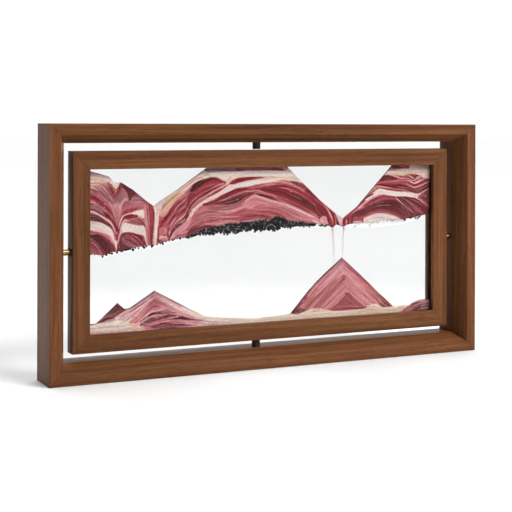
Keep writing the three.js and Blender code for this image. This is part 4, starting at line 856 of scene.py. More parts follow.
for k in range(6):
    ply(("blush", "rose", "shell", "pink")[k % 4], 0.3, ((-124, 44), (-116, 53), (-107, 61.8)), 0.8 + 1.3 * k, 0.0, 0.26, 0.45, 43)
    ply(("shell", "pink", "blush", "salmon")[k % 4], 0.3, ((-106, 61.4), (-96, 57.2), (-84, 51.6)), 0.6 + 1.2 * k, 0.0, 0.26, 0.5, 47)
line("blush", 0.35, "-124,43,.4 -118,47.4,.5 -112,51.4,.5 -106,52.8,.5 -99,53.6,.5 -93,52.4,.4 -86,50.4,.3", 0.9)
fill("pink", 1.6, "-119,41 -116,44.6 -111,49.6 -106,51 -98,52.6 -90,50 -80,47 -70,43.6 -62,42 -62,36 -108,35 -115,37.4", 0.9)
fill("rose", 1.2, "-112,47.4 -104,48.6 -96,49.4 -88,47.8 -78,44.4 -82,41.4 -94,40.4 -106,40.4 -113,42", 0.7)
fill("maroon", 0.35, "-121.4,44 -116,47.6 -111,51 -107.6,51.5 -103,51.9 -97.4,53.3 -92,51.4 -87,49.8 -93,49.7 -99,49.5 -106,49.2 -111,48.7 -116,46.1")
line("soot", 0.4, "-113,49,.3 -110.8,50.4,.7 -108.6,50.6,.4", 0.7)
line("ash", 0.35, "-108,51,.3 -103,51.4,.4 -97.6,52.5,.5 -93,51.2,.3", 0.6)
line("blush", 0.3, "-119,44.4,.3 -113,47.6,.4 -107,49.2,.4 -100,49.4,.4 -93,49.4,.4 -86,48.8,.4 -80,47.6,.3", 0.9)
fill("soot", 0.35, "-121,41.7 -117,43.7 -111,47 -107.6,46.6 -103,47.3 -97,48.7 -92,48.6 -86,47.4 -93,46.7 -99,46 -104,44.7 -109,43.8 -114,42.6 -118,41.7", 0.8)
line("pink", 0.3, "-116,42.2,.3 -109,44,.4 -103,45.2,.4 -97,46.2,.4 -90,46.6,.4", 0.85)
fill("maroon", 0.35, "-99,45.9 -93,45.1 -87,46.7 -82,46.3 -76,44.4 -70,43 -62,41.5 -70,41.9 -78,42.5 -85,43.4 -92,43.8")
line("maroon", 0.35, "-94,45,.3 -87,45.4,.7 -81,44.8,.5 -75,43.6,.3", 0.8)
line("blush", 0.35, "-88,47,.3 -80,46.4,.4 -72,44,.4 -64,42.4,.4", 0.8)
line("shell", 0.4, "-112,41.6,.3 -104,42.6,.4 -96,43.6,.5 -88,43.6,.4 -78,42.4,.4", 0.6)
fill("plum", 0.6, "-112,39.4 -106,41.2 -98,42.2 -91,41 -83,40.6 -75,39.4 -66,38.6 -62,38.2 -74,38.2 -84,38.6 -94,38.8 -104,38.6", 0.85)
line("wine", 0.35, "-106,40.2,.3 -98,41.4,.6 -90,40.4,.5 -80,39.8,.5 -70,38.7,.3", 0.7)
line("mauve", 0.5, "-108,38.6,.4 -98,39.4,.8 -88,39,.6 -78,38.6,.4", 0.6)
line("pink", 0.4, "-104,43,.5 -96,43.2,.7 -88,42.6,.7 -78,41.6,.7 -68,40.4,.6 -60,39.6,.5", 0.7)
line("maroon", 0.6, "-108,37,.4 -100,37.4,.8 -92,37.4,.8 -82,36.9,.6 -72,36.6,.3", 0.8)
line("dusk", 0.25, "-82,39.6,.2 -77,39,.35 -74,38.6,.3", 0.7)
fill("pearl", 0.5, "-104,66.4 -98,64.6 -88,59.6 -78,54 -70,49.6 -56,46.2 -56,43 -66,44.2 -74,46.6 -82,50 -90,54 -97,58.4 -102,62.4", 0.95)
fill("oat", 1.2, "-90,59.6 -80,54.4 -70,49.4 -56,46 -56,43.4 -68,45 -78,49.4 -88,55", 0.7)
line("shell", 0.6, "-101,62.6,.6 -94,58.4,1 -86,54.2,1 -78,50,.9", 0.7)
for k in range(4):
    ply(("shell", "lilac", "oat", "blush")[k], 0.3, ((-107, 69.6), (-88.4, 59), (-72.8, 51), (-61, 45.7)), 1.6 + 1.3 * k, 0.0, 0.28, 0.5, 43)
line("straw", 0.9, "-74,50.4,.4 -71,48.8,.9 -68,47.4,.4", 0.55)
line("stone", 0.5, "-94,61.6,.4 -84,56.4,.5 -74,51,.5 -64,46.8,.4", 0.5)
line("mauve", 0.4, "-107,69.6,.5 -101,66.4,.5 -94,62.4,.4 -87,58.8,.2", 0.8)
fill("shell", 2.0, "-78,43.4 -68,43.6 -60,44 -50,43 -50,35 -70,35.6 -76,38.4 -80,41", 0.55)
line("pink", 0.4, "-78,42,.4 -70,40.6,.6 -62,39.8,.4", 0.6)
fill("lilac", 0.5, "-107.5,69 -100,64.6 -92,60.2 -84,56 -84,54.4 -92,57.6 -100,61.6 -107,66", 0.7)
line("mauve", 0.3, "-107.5,69.3,.5 -100,65.2,.55 -92,60.7,.5 -84,56.4,.4 -77,52.8,.2", 0.9)
line("pink", 0.3, "-107,67.4,.35 -100,63.6,.4 -92,59.2,.35 -84,55,.3", 0.8)
line("shell", 0.3, "-107,66.2,.3 -100,62.5,.4 -92,58.2,.35 -86,55,.25", 0.8)
line("rose", 0.3, "-107,65,.3 -100,61.4,.4 -94,58.4,.3", 0.7)
line("ash", 0.3, "-133.6,55.8,.5 -129.6,56.4,.6 -122,60.8,.75 -114,65.5,.75 -107.6,69.3,.6", 0.9)
line("lilac", 0.3, "-131,54.4,.3 -122,59,.4 -114,63.7,.45 -107.6,67.6,.4", 0.9)
line("mauve", 0.3, "-130,53.2,.3 -122,57.8,.4 -114,62.5,.4 -107.6,66.4,.4", 0.85)
line("shell", 0.3, "-130,52,.3 -122,56.6,.4 -114,61.3,.4 -107.4,65.2,.3", 0.8)
line("pink", 0.3, "-129,50.8,.3 -122,55.4,.4 -114,60.2,.4 -107.4,64,.3", 0.7)
line("mauve", 0.35, "-121,52.6,.3 -114,57.8,.5 -109,61.2,.7 -107,62.1,.6 -103,60.7,.6 -97,58.2,.5 -90,55.2,.3", 0.9)
line("pink", 0.4, "-118,52,.3 -112,56.8,.6 -107,59.8,.7 -101,57.6,.5", 0.6)
for x, z, r in ((-78.6, 43.2, .3), (-76.4, 43.0, .35), (-73.8, 42.9, .4), (-71.4, 42.7, .3), (-68.2, 42.6, .3), (-65.6, 42.6, .3), (-62.8, 42.5, .25)):
    line("soot", 0.25, "%g,%g,%g %g,%g,%g" % (x, z, r, x + 1.0, z, r * 0.7), 0.8)
# small peak on its left shoulder
fill("cocoa", 0.4, "-159.6,45.6 -154,50 -150,53.4 -145.4,58.4 -140.4,62.2 -136.4,58.6 -132.8,55.4 -136,53.6 -140,51.4 -144,49.6 -149,47.6 -154,46.2")
line("maroon", 0.5, "-148,55,.5 -143,58.4,.9 -140,58.8,.7", 0.6)
line("maroon", 0.4, "-155,47.4,.3 -149,49,.7 -143,49.2,.5", 0.7)
line("rose", 0.35, "-140.6,61.6,.2 -137.4,59.2,.35 -134.4,56.6,.4", 0.7)
line("pink", 0.25, "-154.6,48.6,.2 -151.6,50.3,.3 -146.6,51.2,.35 -142,50.2,.3 -138,50.2,.3 -133,52.6,.3", 0.55)
line("rose", 0.3, "-150,51.6,.2 -145,52.2,.35 -140,53,.35 -135.4,54.2,.25", 0.6)
line("blush", 0.35, "-142,49.6,.3 -138,51.4,.4 -134.4,53.6,.4 -131.4,55.2,.4", 0.85)
line("shell", 0.4, "-152,45.8,.3 -145,47.6,.5 -139,49.6,.4", 0.6)

# ---- bed
block("oat", 4.0, "-62,30 -62,50 40,50 40,30")
block("sandy", 0.25, "10,30 10,42.55 126,42.55 126,46 146,44.2 146,43.6 131.8,35.4 128,30")
block("sandy", 6.0, "8,30 8,42.3 40,42.3 40,30", 0.8)
fill("shell", 1.6, "-66,41 -54,40.8 -42,39.8 -32,39 -34,34 -70,34", 0.7)
fill("blush", 1.6, "-70,39 -56,38.6 -44,37.8 -44,34 -70,34", 0.45)
fill("tan", 1.6, "-30,41.2 -14,40.4 4,40.6 20,41.4 20,38.4 0,38 -20,38.6", 0.4)
fill("pearl", 1.4, "-40,38.6 -20,38 0,37.6 20,37.6 20,34 -40,34", 0.6)
line("stone", 0.4, "-60,45,.4 -44,43.2,.4 -24,41.4,.4 -6,40.6,.35 8,40.9,.4 20,41.8,.3", 0.7)
line("tan", 0.5, "-62,43.6,.4 -46,42,.5 -30,40.4,.4", 0.5)
line("pearl", 0.5, "-64,42.2,.5 -50,40.8,.6 -36,39.4,.4", 0.6)
line("peach", 0.6, "20,38.6,.5 50,38.8,.7 80,38.6,.7 110,38.8,.6 126,39.2,.4", 0.3)
line("pearl", 0.5, "24,40.6,.4 50,41,.5 76,40.4,.5 104,40.8,.4 124,41,.4", 0.45)
line("salmon", 0.5, "60,41.8,.3 80,41.6,.5 96,41.4,.3", 0.25)
line("oat", 0.5, "22,41.8,.3 30,41.6,.5 40,41.2,.4", 0.6)
# painted shadow: faint dark lines low in the bed, for the shadow where the sand meets the frame
line("mauve", 0.35, "24,37.6,.2 40,37.6,.4 60,37.4,.3", 0.4)
line("dusk", 0.3, "-40,36.6,.2 -20,36.3,.35 0,36.4,.2", 0.3)

# ---- right cone: nested chevrons
CONE_L, CONE_R = ((20.9, 42.6), (24.9, 47), (31.3, 54), (38.9, 62), (47.5, 70), (57.2, 78), (72.7, 89.8)), ((72.7, 89.8), (82.1, 82), (91.4, 74), (100.4, 66), (109, 58), (118.5, 50), (127.2, 42.6))
block("pink", 0.2, "16,42.6 16,95 128,95 128,42.6")
line("mauve", 0.6, "72.6,89,.8 64,81.6,1 54,73,1 45,65,.8 37,57.6,.6", 0.85)
line("lilac", 0.35, "71.6,88.2,.3 64,82.4,.4 56,75.6,.35", 0.5)
line("rose", 0.7, "60,74.6,.4 52,67.6,1 44,60.6,1.2 36,53,1", 0.8)
line("crimson", 0.5, "48,64.4,.4 41,58.6,.8 34,51.6,.7", 0.6)
line("blush", 0.3, "71,86.6,.3 64,79.6,.4 54,71.2,.5 45,63.4,.5 36,55.2,.5 28,47.8,.4", 0.9)
line("lilac", 0.8, "73,83.4,1 66,77,1.2 58,70,.9", 0.55)
line("blush", 0.3, "68,76.4,.3 60,69.8,.35 50,61,.4 42,54.4,.35 34,47.6,.3", 0.75)
line("rose", 0.35, "66,73,.3 58,66.6,.5 48,57.6,.5 40,50.6,.4", 0.6)
line("blush", 0.5, "74.4,76.8,.8 68,71.6,.8 61,65.4,.6", 0.6)
fill("brick", 0.8, "66,71.6 61,68 54,61.8 46,55 38,48.4 32,44.4 37,44.2 44,49 52,56 60,63.4 67,69.6", 0.8)
line("crimson", 0.6, "50,58.4,.4 43,52.4,.9 37,47.6,.8", 0.7)
line("maroon", 0.6, "44,52.6,.3 38,47.6,.8 31,44,.8", 0.7)
line("pink", 0.35, "74,75,.4 68,69.6,.5 62,64.2,.5 54,57.2,.5 46,50.4,.5 39.6,45.4,.4", 0.95)
fill("brick", 0.9, "74.6,74.6 75.8,69.8 69,63.4 61,56.4 53,50.6 46,46.2 41,45 46,49.2 54,56.2 62,63.2 69,69", 0.8)
line("wine", 0.8, "73.8,70.8,.8 67,64.6,.8 59,57.2,.7 50,49.8,.5", 0.5)
fill("pink", 0.8, "77,67 71,60.6 64,54 57,48 50,44 62,44 68,49 74,54.6 79,60.6", 0.9)
line("rose", 0.4, "75.4,63,.4 69,56.6,.5 62,50,.5 55,45,.4", 0.5)
fill("brick", 0.5, "78.4,58.6 74,55 68,50 60,43.6 70,42 102,42 97,44.8 91,49 84,54.2", 0.85)
fill("plum", 1.2, "78,57 73,52.6 68,48.4 74,46 84,46.6 88,49 83,53.4", 0.45)
line("maroon", 0.6, "76,56,.3 78.6,57.2,.6 82,54.8,.4", 0.5)
# right legs
line("mauve", 0.5, "73.06,88.4,.5 80.71,82.4,.6 89.46,75.4,.6 97.5,68.4,.5 105.5,61,.5", 0.9)
line("rose", 0.5, "74.36,85.6,.5 82.01,79.6,.8 90.5,72.6,.8 99.5,64.6,.8 108.5,56.4,.7", 0.85)
line("brick", 0.4, "75.14,84,.3 83.24,77.4,.5 91.5,70.6,.5 100.5,62.8,.5 108.5,55.6,.4", 0.7)
line("wine", 0.35, "76.71,82.4,.3 84.37,76.2,.4 92.5,69.4,.35 100.5,62.4,.3", 0.55)
line("pink", 0.4, "75.75,82,.4 83.48,75.2,.6 91.5,68.6,.6 100.5,60.8,.5 109.5,52.8,.4", 0.8)
line("stone", 0.6, "86.95,76.4,.4 89.9,73.8,.8 91.5,72.4,.4", 0.6)
line("rose", 0.45, "77.9,73,.6 85.5,66.8,.7 94.5,59.4,.7 103.5,51.8,.7 110.5,46,.5", 0.7)
line("pink", 0.5, "78.1,70.4,.6 85.5,64,.8 93.5,57.6,.9 102.5,50,.9 109.5,44.8,.6", 0.8)
line("brick", 0.4, "78.5,69,.5 85.5,62.6,.6 93.5,56,.6 101.5,49.4,.5 107.5,45,.3", 0.45)
line("pink", 0.7, "80.1,64,.8 85.5,58.8,1 92.5,53,1 100.5,46.8,1 105.5,44,.6", 0.8)
line("rose", 0.35, "79.5,61.6,.4 85.5,56.4,.5 92.5,51,.5 99.5,45.8,.4", 0.6)
for k in range(20):     # the fine layers of every fall
    ply(("blush", "rose", "pink", "shell", "brick", "blush", "mauve")[k % 7], 0.26, CONE_L, 1.3 + 1.62 * k + 0.4 * (k % 3), 0.10, 0.24, 0.34, 43)
    ply(("rose", "blush", "salmon", "pink", "brick", "shell", "rose")[k % 7], 0.26, CONE_R, 1.5 + 1.62 * k + 0.4 * (k % 4), 0.06, 0.24, 0.34, 43)
ply("plum", 0.35, CONE_L, 0.45, 0.0, 0.55, 0.9, 43)
ply("mauve", 0.35, CONE_R, 0.45, 0.0, 0.5, 0.9, 43)
for colour, soft, inset, low, high, half, power in (
        ("salmon", 0.4, 4.0, 49, 80, 0.9, 0.50), ("blush", 0.5, 7.5, 64, 83, 1.5, 0.45), ("shell", 0.35, 10.6, 66, 82, 0.8, 0.45), ("coral", 0.6, 8.0, 47, 61, 1.8, 0.55),
        ("garnet", 0.5, 11.0, 45, 56, 1.5, 0.55), ("garnet", 0.4, 14.6, 45, 72, 0.9, 0.65), ("salmon", 0.3, 17.8, 45, 73, 0.55, 0.60), ("garnet", 0.6, 23.2, 45, 69, 2.2, 0.55), ("rosy", 0.7, 31.6, 45, 62, 2.6, 0.50)):
    leg(colour, soft, CONE_L, inset, low, high, half, power)
for colour, soft, inset, low, high, half, power in (
        ("rosy", 0.8, 21.5, 46, 68, 5.0, 0.35), ("umber", 0.7, 5.6, 42, 54, 3.2, 0.80), ("coral", 0.5, 9.4, 44, 60, 1.4, 0.80), ("salmon", 0.5, 9.2, 56, 76, 1.3, 0.65), ("umber", 0.4, 5.0, 52, 62, 0.7, 0.55),
        ("garnet", 0.4, 2.4, 50, 76, 0.7, 0.50), ("blush", 0.3, 13.0, 44, 78, 0.6, 0.80), ("shell", 0.25, 12.8, 62, 75, 0.45, 0.75), ("coral", 0.3, 6.8, 58, 72, 0.5, 0.55)):
    leg(colour, soft, CONE_R, -inset, low, high, half, power)
fill("umber", 0.7, "124.8,42.4 121.6,46.6 119,52 114.6,55.8 113.2,53 114.4,50 113.4,46.8 113,43.4 118,41.6", 0.9)
line("maroon", 0.5, "113.6,49,.3 115.2,46.4,.7 117,44.4,.4", 0.75)
fill("maroon", 0.8, "21,42.6 27,48.6 32,53.4 36,57.6 37,56 34,52 30,48 32,45.6 37,44.6 30,42", 0.85)
line("soot", 0.5, "23,43.6,.6 28,46.4,.9 32,45.4,.7", 0.6)
line("pink", 0.3, "27,45.6,.2 29.6,46.2,.4 31.6,45.2,.2", 0.7)
line("wine", 0.5, "116,47.2,.4 119,46,.7 122.6,44,.5", 0.5)
line("mauve", 0.35, "105.6,60.6,.3 113.4,53.4,.4 118.6,49,.3", 0.45)
fill("lilac", 0.6, "24,42.6 72.7,88 79,78 87,67.6 101,54 109,46.6 109,42.6", 0.12)
fill("plum", 0.4, "60,44 65,41.9 91,41.9 98,44", 0.5)
fill("sandy", 0.7, "32,41 37,44.6 44,46 52,44.8 60,43 68,42.2 80,42 92,42.2 98,43.4 103,45.6 107.6,46 111.6,44.6 115.4,42.8 121,41.6 80,40", 0.9)
fill("peach", 0.8, "40,43 46,45.6 54,44.6 62,43 50,42", 0.5)
line("oat", 0.4, "98,44.2,.3 103,45.6,.6 108,45.4,.6 113,43.4,.4", 0.7)
fill("umber", 0.6, "124.4,42.8 120.6,46.6 115.8,51.4 112.2,54.4 112.6,50.4 111.8,47 111.8,44.4 117,42.8", 0.7)
fill("maroon", 0.7, "114.6,44.2 116.6,46.8 120,46.2 123.4,43.4 119,42.8", 0.55)
fill("sandy", 0.5, "116,42.4 125,42.5 133,43.4 139,43.6 137,38 116,38", 0.9)
fill("stone", 1.0, "117,41.4 127,41.8 136,42.4 136,39 118,38.4", 0.4)
line("olive", 0.5, "131,42.6,.2 136,43,.5 140,43.2,.2", 0.35)
fill("oat", 2.0, "4,36 6,41 30,42 60,42.4 84,41 84,37 40,36", 0.5)
line("blush", 0.4, "71.6,81.4,.3 74.4,75.6,1.2 77,73.4,.4", 0.5)

fill("mauve", 1.0, "-112,64.4 -107.5,68.4 -101,65.2 -106,61.4", 0.3)
fill("plum", 1.6, "-113,57.6 -105,62 -97.6,58.4 -104,55.4", 0.22)

fill("blush", 1.6, "-101,58 -94,56.4 -86,53 -80,50 -86,50.4 -92,52.8 -97,54.4 -102,55.2", 0.45)
fill("mauve", 1.0, "-104,50.6 -97.4,53 -91,51.2 -88,50 -95,49.8", 0.35)
line("cocoa", 0.4, "-168,45,.3 -162,45.1,.45 -157.4,46.4,.6 -153,48.4,.5", 0.7)
fill("rose", 1.0, "-58,169 -58,176 -6,176 -6,171 -20,170.4 -40,170", 0.22)

block("cocoa", 1.0, "-157,45.8 -152,48.8 -146,49 -141.6,48.2 -145,46.6 -151,45.6", 0.5)
block("blush", 2.2, "-103,57 -96,55.6 -88,52.4 -82,49.4 -86,47.6 -94,48.8 -101,50.6 -104,54", 0.45)
block("maroon", 2.0, "-165,139 -165,144 -159,144.4 -155,142 -158,138.6", 0.4)
block("maroon", 2.0, "157,141.4 157,147 163,147.6 166,144 164,141", 0.45)
block("wine", 2.0, "40.6,139 42,144 47,143.6 49.6,140 45,138.4", 0.5)

# ---- right bank
block("plum", 0.25, "131.8,35.4 145.2,43.25 150.2,46 158,50 172,50 172,30 128,30 128,33")
fill("sandy", 1.6, "120,30 126,36 134,41 138.6,43 137,38 136,30", 0.9)
fill("pink", 1.6, "131,36 137,39.6 143,42.2 151,43 150,39.6 143,36.4 136,34", 0.8)
fill("rose", 1.4, "140,40.4 148,43 154,44.6 163,45.2 190,45.2 190,42.2 160,41.8 150,40 144,38.6", 0.42)
fill("dusk", 1.8, "148,38.4 154,41.8 162,43 190,43 190,35 160,34.6", 0.75)
line("maroon", 0.7, "137.8,39.8,.2 143,41.8,.4 148,43.3,.6 154.4,44.9,.7 162.7,45.3,.6 186,45.2,.6", 0.75)
line("maroon", 0.8, "144,36.4,.4 149,37.6,.8 155,38.2,.8 160,38.2,.4", 0.5)
line("lilac", 0.6, "160,38.2,.2 164,38.4,.4 186,38.4,.4", 0.15)
line("plum", 0.9, "146,40,.3 152,42,.8 160,43,.9 186,43,.9", 0.4)
line("pearl", 0.5, "138.6,42.2,.2 144,44.2,.5 150.4,45.7,.7 157.3,46.5,.9 165.7,46.5,.9 186,46.5,.9", 0.72)


# ------------------------------------------------------------------ sand: painter

X0, Z0, STEP = -169.0, 34.0, 0.32
NX, NZ = int(338 / STEP) + 1, int(142 / STEP) + 1
VEIL, LIT = 0.014, 1.45      # what the glass adds over the sand, and how bright a white sand would look


def curve(p, closed, per=7):
    """Catmull-Rom through the points; the half width is carried along."""
    p = np.vstack([p[-1], p, p[0], p[1]]) if closed else np.vstack([2 * p[0] - p[1], p, 2 * p[-1] - p[-2]])
    t = (np.arange(per) / per)[:, None]
    out = []
    for a, b, c, d in zip(p[:-3], p[1:-2], p[2:-1], p[3:]):
        out.append(0.5 * (2 * b + (c - a) * t + (2 * a - 5 * b + 4 * c - d) * t ** 2 + (3 * b - a - 3 * c + d) * t ** 3))
    q = np.vstack(out)
    return q if closed else np.vstack([q, p[-2]])


def linear(c):
    c = np.asarray(c, float) / 255.0
    return np.where(c <= 0.04045, c / 12.92, ((c + 0.055) / 1.055) ** 2.4)


def sample(grid, x, z):
    """Bilinear sample of a grid at x, z in mm."""
    u = np.clip((x - X0) / STEP, 0, NX - 1.001)
    v = np.clip((z - Z0) / STEP, 0, NZ - 1.001)
    i, j = u.astype(int), v.astype(int)
    fu, fv = u - i, v - j
    if grid.ndim == 3:
        fu, fv = fu[..., None], fv[..., None]
    return (grid[j, i] * (1 - fu) * (1 - fv) + grid[j, i + 1] * fu * (1 - fv)
            + grid[j + 1, i] * (1 - fu) * fv + grid[j + 1, i + 1] * fu * fv)


def flow_field(paths):
    """The way the layers run, from the directions of all strokes (double angle, because a line has no sign)."""
    pts, dirs = [], []
    for q in paths:
        d = np.diff(q[:, :2], axis=0)
        w = np.hypot(d[:, 0], d[:, 1])
        keep = w > 1e-6
        a = 2 * np.arctan2(d[keep, 1], d[keep, 0])
        pts.append((q[:-1, :2] + q[1:, :2])[keep] / 2)
        dirs.append(np.stack([np.cos(a) * w[keep], np.sin(a) * w[keep]], 1))
    pts, dirs = np.vstack(pts), np.vstack(dirs)
    k = 6
    gx, gz = X0 + np.arange(0, NX + k, k) * STEP, Z0 + np.arange(0, NZ + k, k) * STEP
    acc = np.zeros((len(gz), len(gx), 2))
    for r, z in enumerate(gz):
        d2 = (gx[:, None] - pts[None, :, 0]) ** 2 + (z - pts[None, :, 1]) ** 2 + 0.6
        acc[r] = (d2 ** -1.5) @ dirs
    acc /= np.maximum(np.hypot(acc[..., 0], acc[..., 1])[..., None], 1e-12)
    jj, ii = np.meshgrid(np.arange(NZ) / k, np.arange(NX) / k, indexing="ij")
    j, i = jj.astype(int), ii.astype(int)
    fj, fi = (jj - j)[..., None], (ii - i)[..., None]
    full = acc[j, i] * (1 - fj) * (1 - fi) + acc[j + 1, i] * fj * (1 - fi) + acc[j, i + 1] * (1 - fj) * fi + acc[j + 1, i + 1] * fj * fi
    ang = np.arctan2(full[..., 1], full[..., 0]) / 2
    return np.cos(ang).astype(np.float32), np.sin(ang).astype(np.float32)


def streaks(ux, uz, noise, reach):
    """Noise smeared along the flow, to zero mean and unit spread."""
    j, i = np.meshgrid(np.arange(NZ, dtype=np.float32), np.arange(NX, dtype=np.float32), indexing="ij")
    total = noise.astype(np.float32).copy()
    for sign in (1, -1):
        pj, pi, lx, lz = j, i, ux * np.float32(sign), uz * np.float32(sign)
        for _ in range(reach):
            pi = np.clip(pi + lx * np.float32(1.5), 0, NX - 1)
            pj = np.clip(pj + lz * np.float32(1.5), 0, NZ - 1)
            a, b = pj.astype(np.int32), pi.astype(np.int32)
            total += noise[a, b]
            vx, vz = ux[a, b], uz[a, b]
            turn = np.where(vx * lx + vz * lz < 0, np.float32(-1), np.float32(1))
            lx, lz = vx * turn, vz * turn
    return (total - total.mean()) / total.std()


def soften(a, r):
    """Box blur."""
    for _ in (0, 1):
        c = np.cumsum(np.pad(a, ((r + 1, r), (0, 0)), mode="edge"), axis=0)
        a = ((c[2 * r + 1:] - c[:-2 * r - 1]) / (2 * r + 1)).T
    return a


def paint():
    """Lays the strokes down in order on a fine grid, with edges feathered along the flow. Returns colours as seen, sRGB."""
    rng = np.random.default_rng(41)
    paths = [pts if kind == "block" else curve(pts, kind == "fill") for kind, _, _, pts, _ in STROKES]
    ux, uz = flow_field([q for q, s in zip(paths, STROKES) if s[0] != "block"])
    fine = streaks(ux, uz, rng.standard_normal((NZ, NX)).astype(np.float32), 20)
    broad = streaks(ux, uz, soften(rng.standard_normal((NZ, NX)), 2).astype(np.float32), 34)
    hair = streaks(ux, uz, soften(rng.standard_normal((NZ, NX)), 1).astype(np.float32), 46)
    vein = streaks(ux, uz, soften(rng.standard_normal((NZ, NX)), 1).astype(np.float32), 30)
    gx, gz = np.meshgrid(X0 + np.arange(NX) * STEP, Z0 + np.arange(NZ) * STEP)
    shift = 0.30 * broad + 0.13 * fine
    wx, wz = (gx - uz * shift).astype(np.float32), (gz + ux * shift).astype(np.float32)
    img = np.zeros((NZ, NX, 3), np.float32)
    for (kind, col, soft, _, power), q in zip(STROKES, paths):
        closed = kind != "line"
        pad = soft + 2.5 + (0 if closed else q[:, 2].max())
        i0, i1 = max(0, int((q[:, 0].min() - pad - X0) / STEP)), min(NX, int((q[:, 0].max() + pad - X0) / STEP) + 2)
        j0, j1 = max(0, int((q[:, 1].min() - pad - Z0) / STEP)), min(NZ, int((q[:, 1].max() + pad - Z0) / STEP) + 2)
        if i1 <= i0 or j1 <= j0:
            continue
        x, z = wx[j0:j1, i0:i1], wz[j0:j1, i0:i1]
        best = np.full(x.shape, 1e9, np.float32)
        inside = np.zeros(x.shape, bool)
        for a, b in zip(q if closed else q[:-1], np.vstack([q[1:], q[:1]]) if closed else q[1:]):
            ax, az, dx, dz = (np.float32(v) for v in (a[0], a[1], b[0] - a[0], b[1] - a[1]))
            px, pz = x - ax, z - az
            t = np.clip((px * dx + pz * dz) / (dx * dx + dz * dz + np.float32(1e-9)), 0, 1)
            d = np.hypot(px - t * dx, pz - t * dz)
            if closed:
                if dz != 0:
                    inside ^= ((a[1] > z) != (b[1] > z)) & (px < pz / dz * dx)
            else:
                d = d - np.maximum(np.float32(a[2]) + np.float32(b[2] - a[2]) * t, 0)
            np.minimum(best, d, out=best)
        if closed:
            best = np.where(inside, -best, best)
        k = np.clip(0.5 - best / (2 * soft), 0, 1)
        k = (k * k * (3 - 2 * k) * power)[..., None]
        img[j0:j1, i0:i1] += (np.array(SEEN[col], np.float32) - img[j0:j1, i0:i1]) * k
    red = np.clip((208 - img[..., 1]) / 90, 0.12, 1)
    for col, lay, power in (("blush", hair, 0.52), ("wine", -hair, 0.50), ("shell", vein, 0.34), ("maroon", -vein, 0.36)):     # fine light and dark hairlines in the red sand
        k = np.clip((lay - 1.0) / 1.0, 0, 1) * red * power
        img += (np.array(SEEN[col], np.float32) - img) * k[..., None]
    img *= (1.0 + 0.050 * fine + 0.032 * broad)[..., None]
    img += 0.5 * (img - np.stack([soften(img[..., c], 4) for c in range(3)], -1))      # each layer a little darker or lighter along its edge
    return np.clip(img, (58, 26, 28), (238, 218, 208))


STRATA = paint()


def albedo(seen):
    return np.clip((linear(seen) - VEIL) / LIT, 0.003, 0.92)


# ------------------------------------------------------------------ sand: meshes

FRONT, BACK = 1.1, 2.9       # the cell's sand, mm


def xz(text):
    return np.array([[float(v) for v in p.split(",")] for p in text.split()])


UPPER_TOP = xz("-168,172.1 -148.2,166.4 -143,161.6 -137.3,161.2 -127.2,155.1 -116.6,146.6 -108.5,140.9 -103.2,144.7 -88.7,153.3 -61.2,171.7 -57.5,174.5 14.9,174.5 33.5,157.2 50.7,141.5 66,129.9 73.9,125.4 87.8,135 124.4,171.7 127.2,174.5 166.2,174.5")
UPPER_LOW = xz("-168,103.4 -153.2,100.9 -145.4,103.8 -141.1,103.3 -136.7,105.1 -120.9,107 -107.5,108.2 -98.5,110.3 -84.9,113.2 -75.8,115.4 -66.6,118.1 -52.6,120.6 -43.2,122.9 -29,124.8 -7.8,126.5 7.8,128.8 19.7,124.7 29.6,123.6 44.7,121.8 56.9,119.7 62.7,116.8 67.1,119.8 73.3,117.3 80.5,119.8 106.8,119.9 133.5,120.9 137.8,121.7 144.3,123.8 166.2,126.4")
RAFT_TOP = xz("-77.4,113.6 -74,115 -70,116.4 -66,118.4 -60,120 -56,120.2 -50,121.4 -45,122.4 -40,123.8 -35,123.6 -31,123 -28,124.4 -20,124 -15,124.8 -10,125.4 -4,125.6 0,124.6 2.6,126.6 4,127.6 8,128 12,127.4 15.4,126 16.8,124.2 22,124.2 26,122.8 32,122.8 36,121.6 43,121.2 45,120.4")
UPPER_LOW = np.vstack([UPPER_LOW[UPPER_LOW[:, 0] < -78], RAFT_TOP + (0.0, 0.35), UPPER_LOW[UPPER_LOW[:, 0] > 46]])      # over the raft it follows the beads
HEAPS = {
    "upper_sand": ("sand_red", np.vstack([UPPER_TOP, UPPER_LOW[::-1]])),
    "lower_sand_dune": ("sand_rose", xz("-168,35.5 -60.75,35.5 -60.75,45.5 -72.8,51.4 -88.4,59.6 -107.5,69.8 -129.6,56.4 -133.9,56 -140.3,61.4 -158.5,45.5 -168,45.3")),
    "lower_sand_bed": ("sand_cream", xz("-60.75,35.5 131.8,35.5 145.2,43.2 127.2,42.55 20.9,42.55 15,41.7 -14.3,40.7 -47.7,43.5 -60.75,45.5")),
    "lower_sand_cone": ("sand_red", xz("20.9,42.55 127.2,42.55 118.5,50 109,58 100.4,66 91.4,74 82.1,82 72.7,89.8 57.2,78 47.5,70 38.9,62 31.3,54 24.9,47")),
    "lower_sand_bank": ("sand_rose", xz("131.8,35.5 166.2,35.5 166.2,47.4 156.6,47.2 150.1,45.9 145.2,43.2")),
}
SHARED = xz("-60.75,35.5 -60.75,45.5 20.9,42.55 127.2,42.55 131.8,35.5 145.2,43.2").reshape(3, 2, 2)     # where one heap lies against the next


def is_shared(a, b):
    return any((np.abs(s - np.array([a, b])) < 1e-6).all() or (np.abs(s - np.array([b, a])) < 1e-6).all() for s in SHARED)


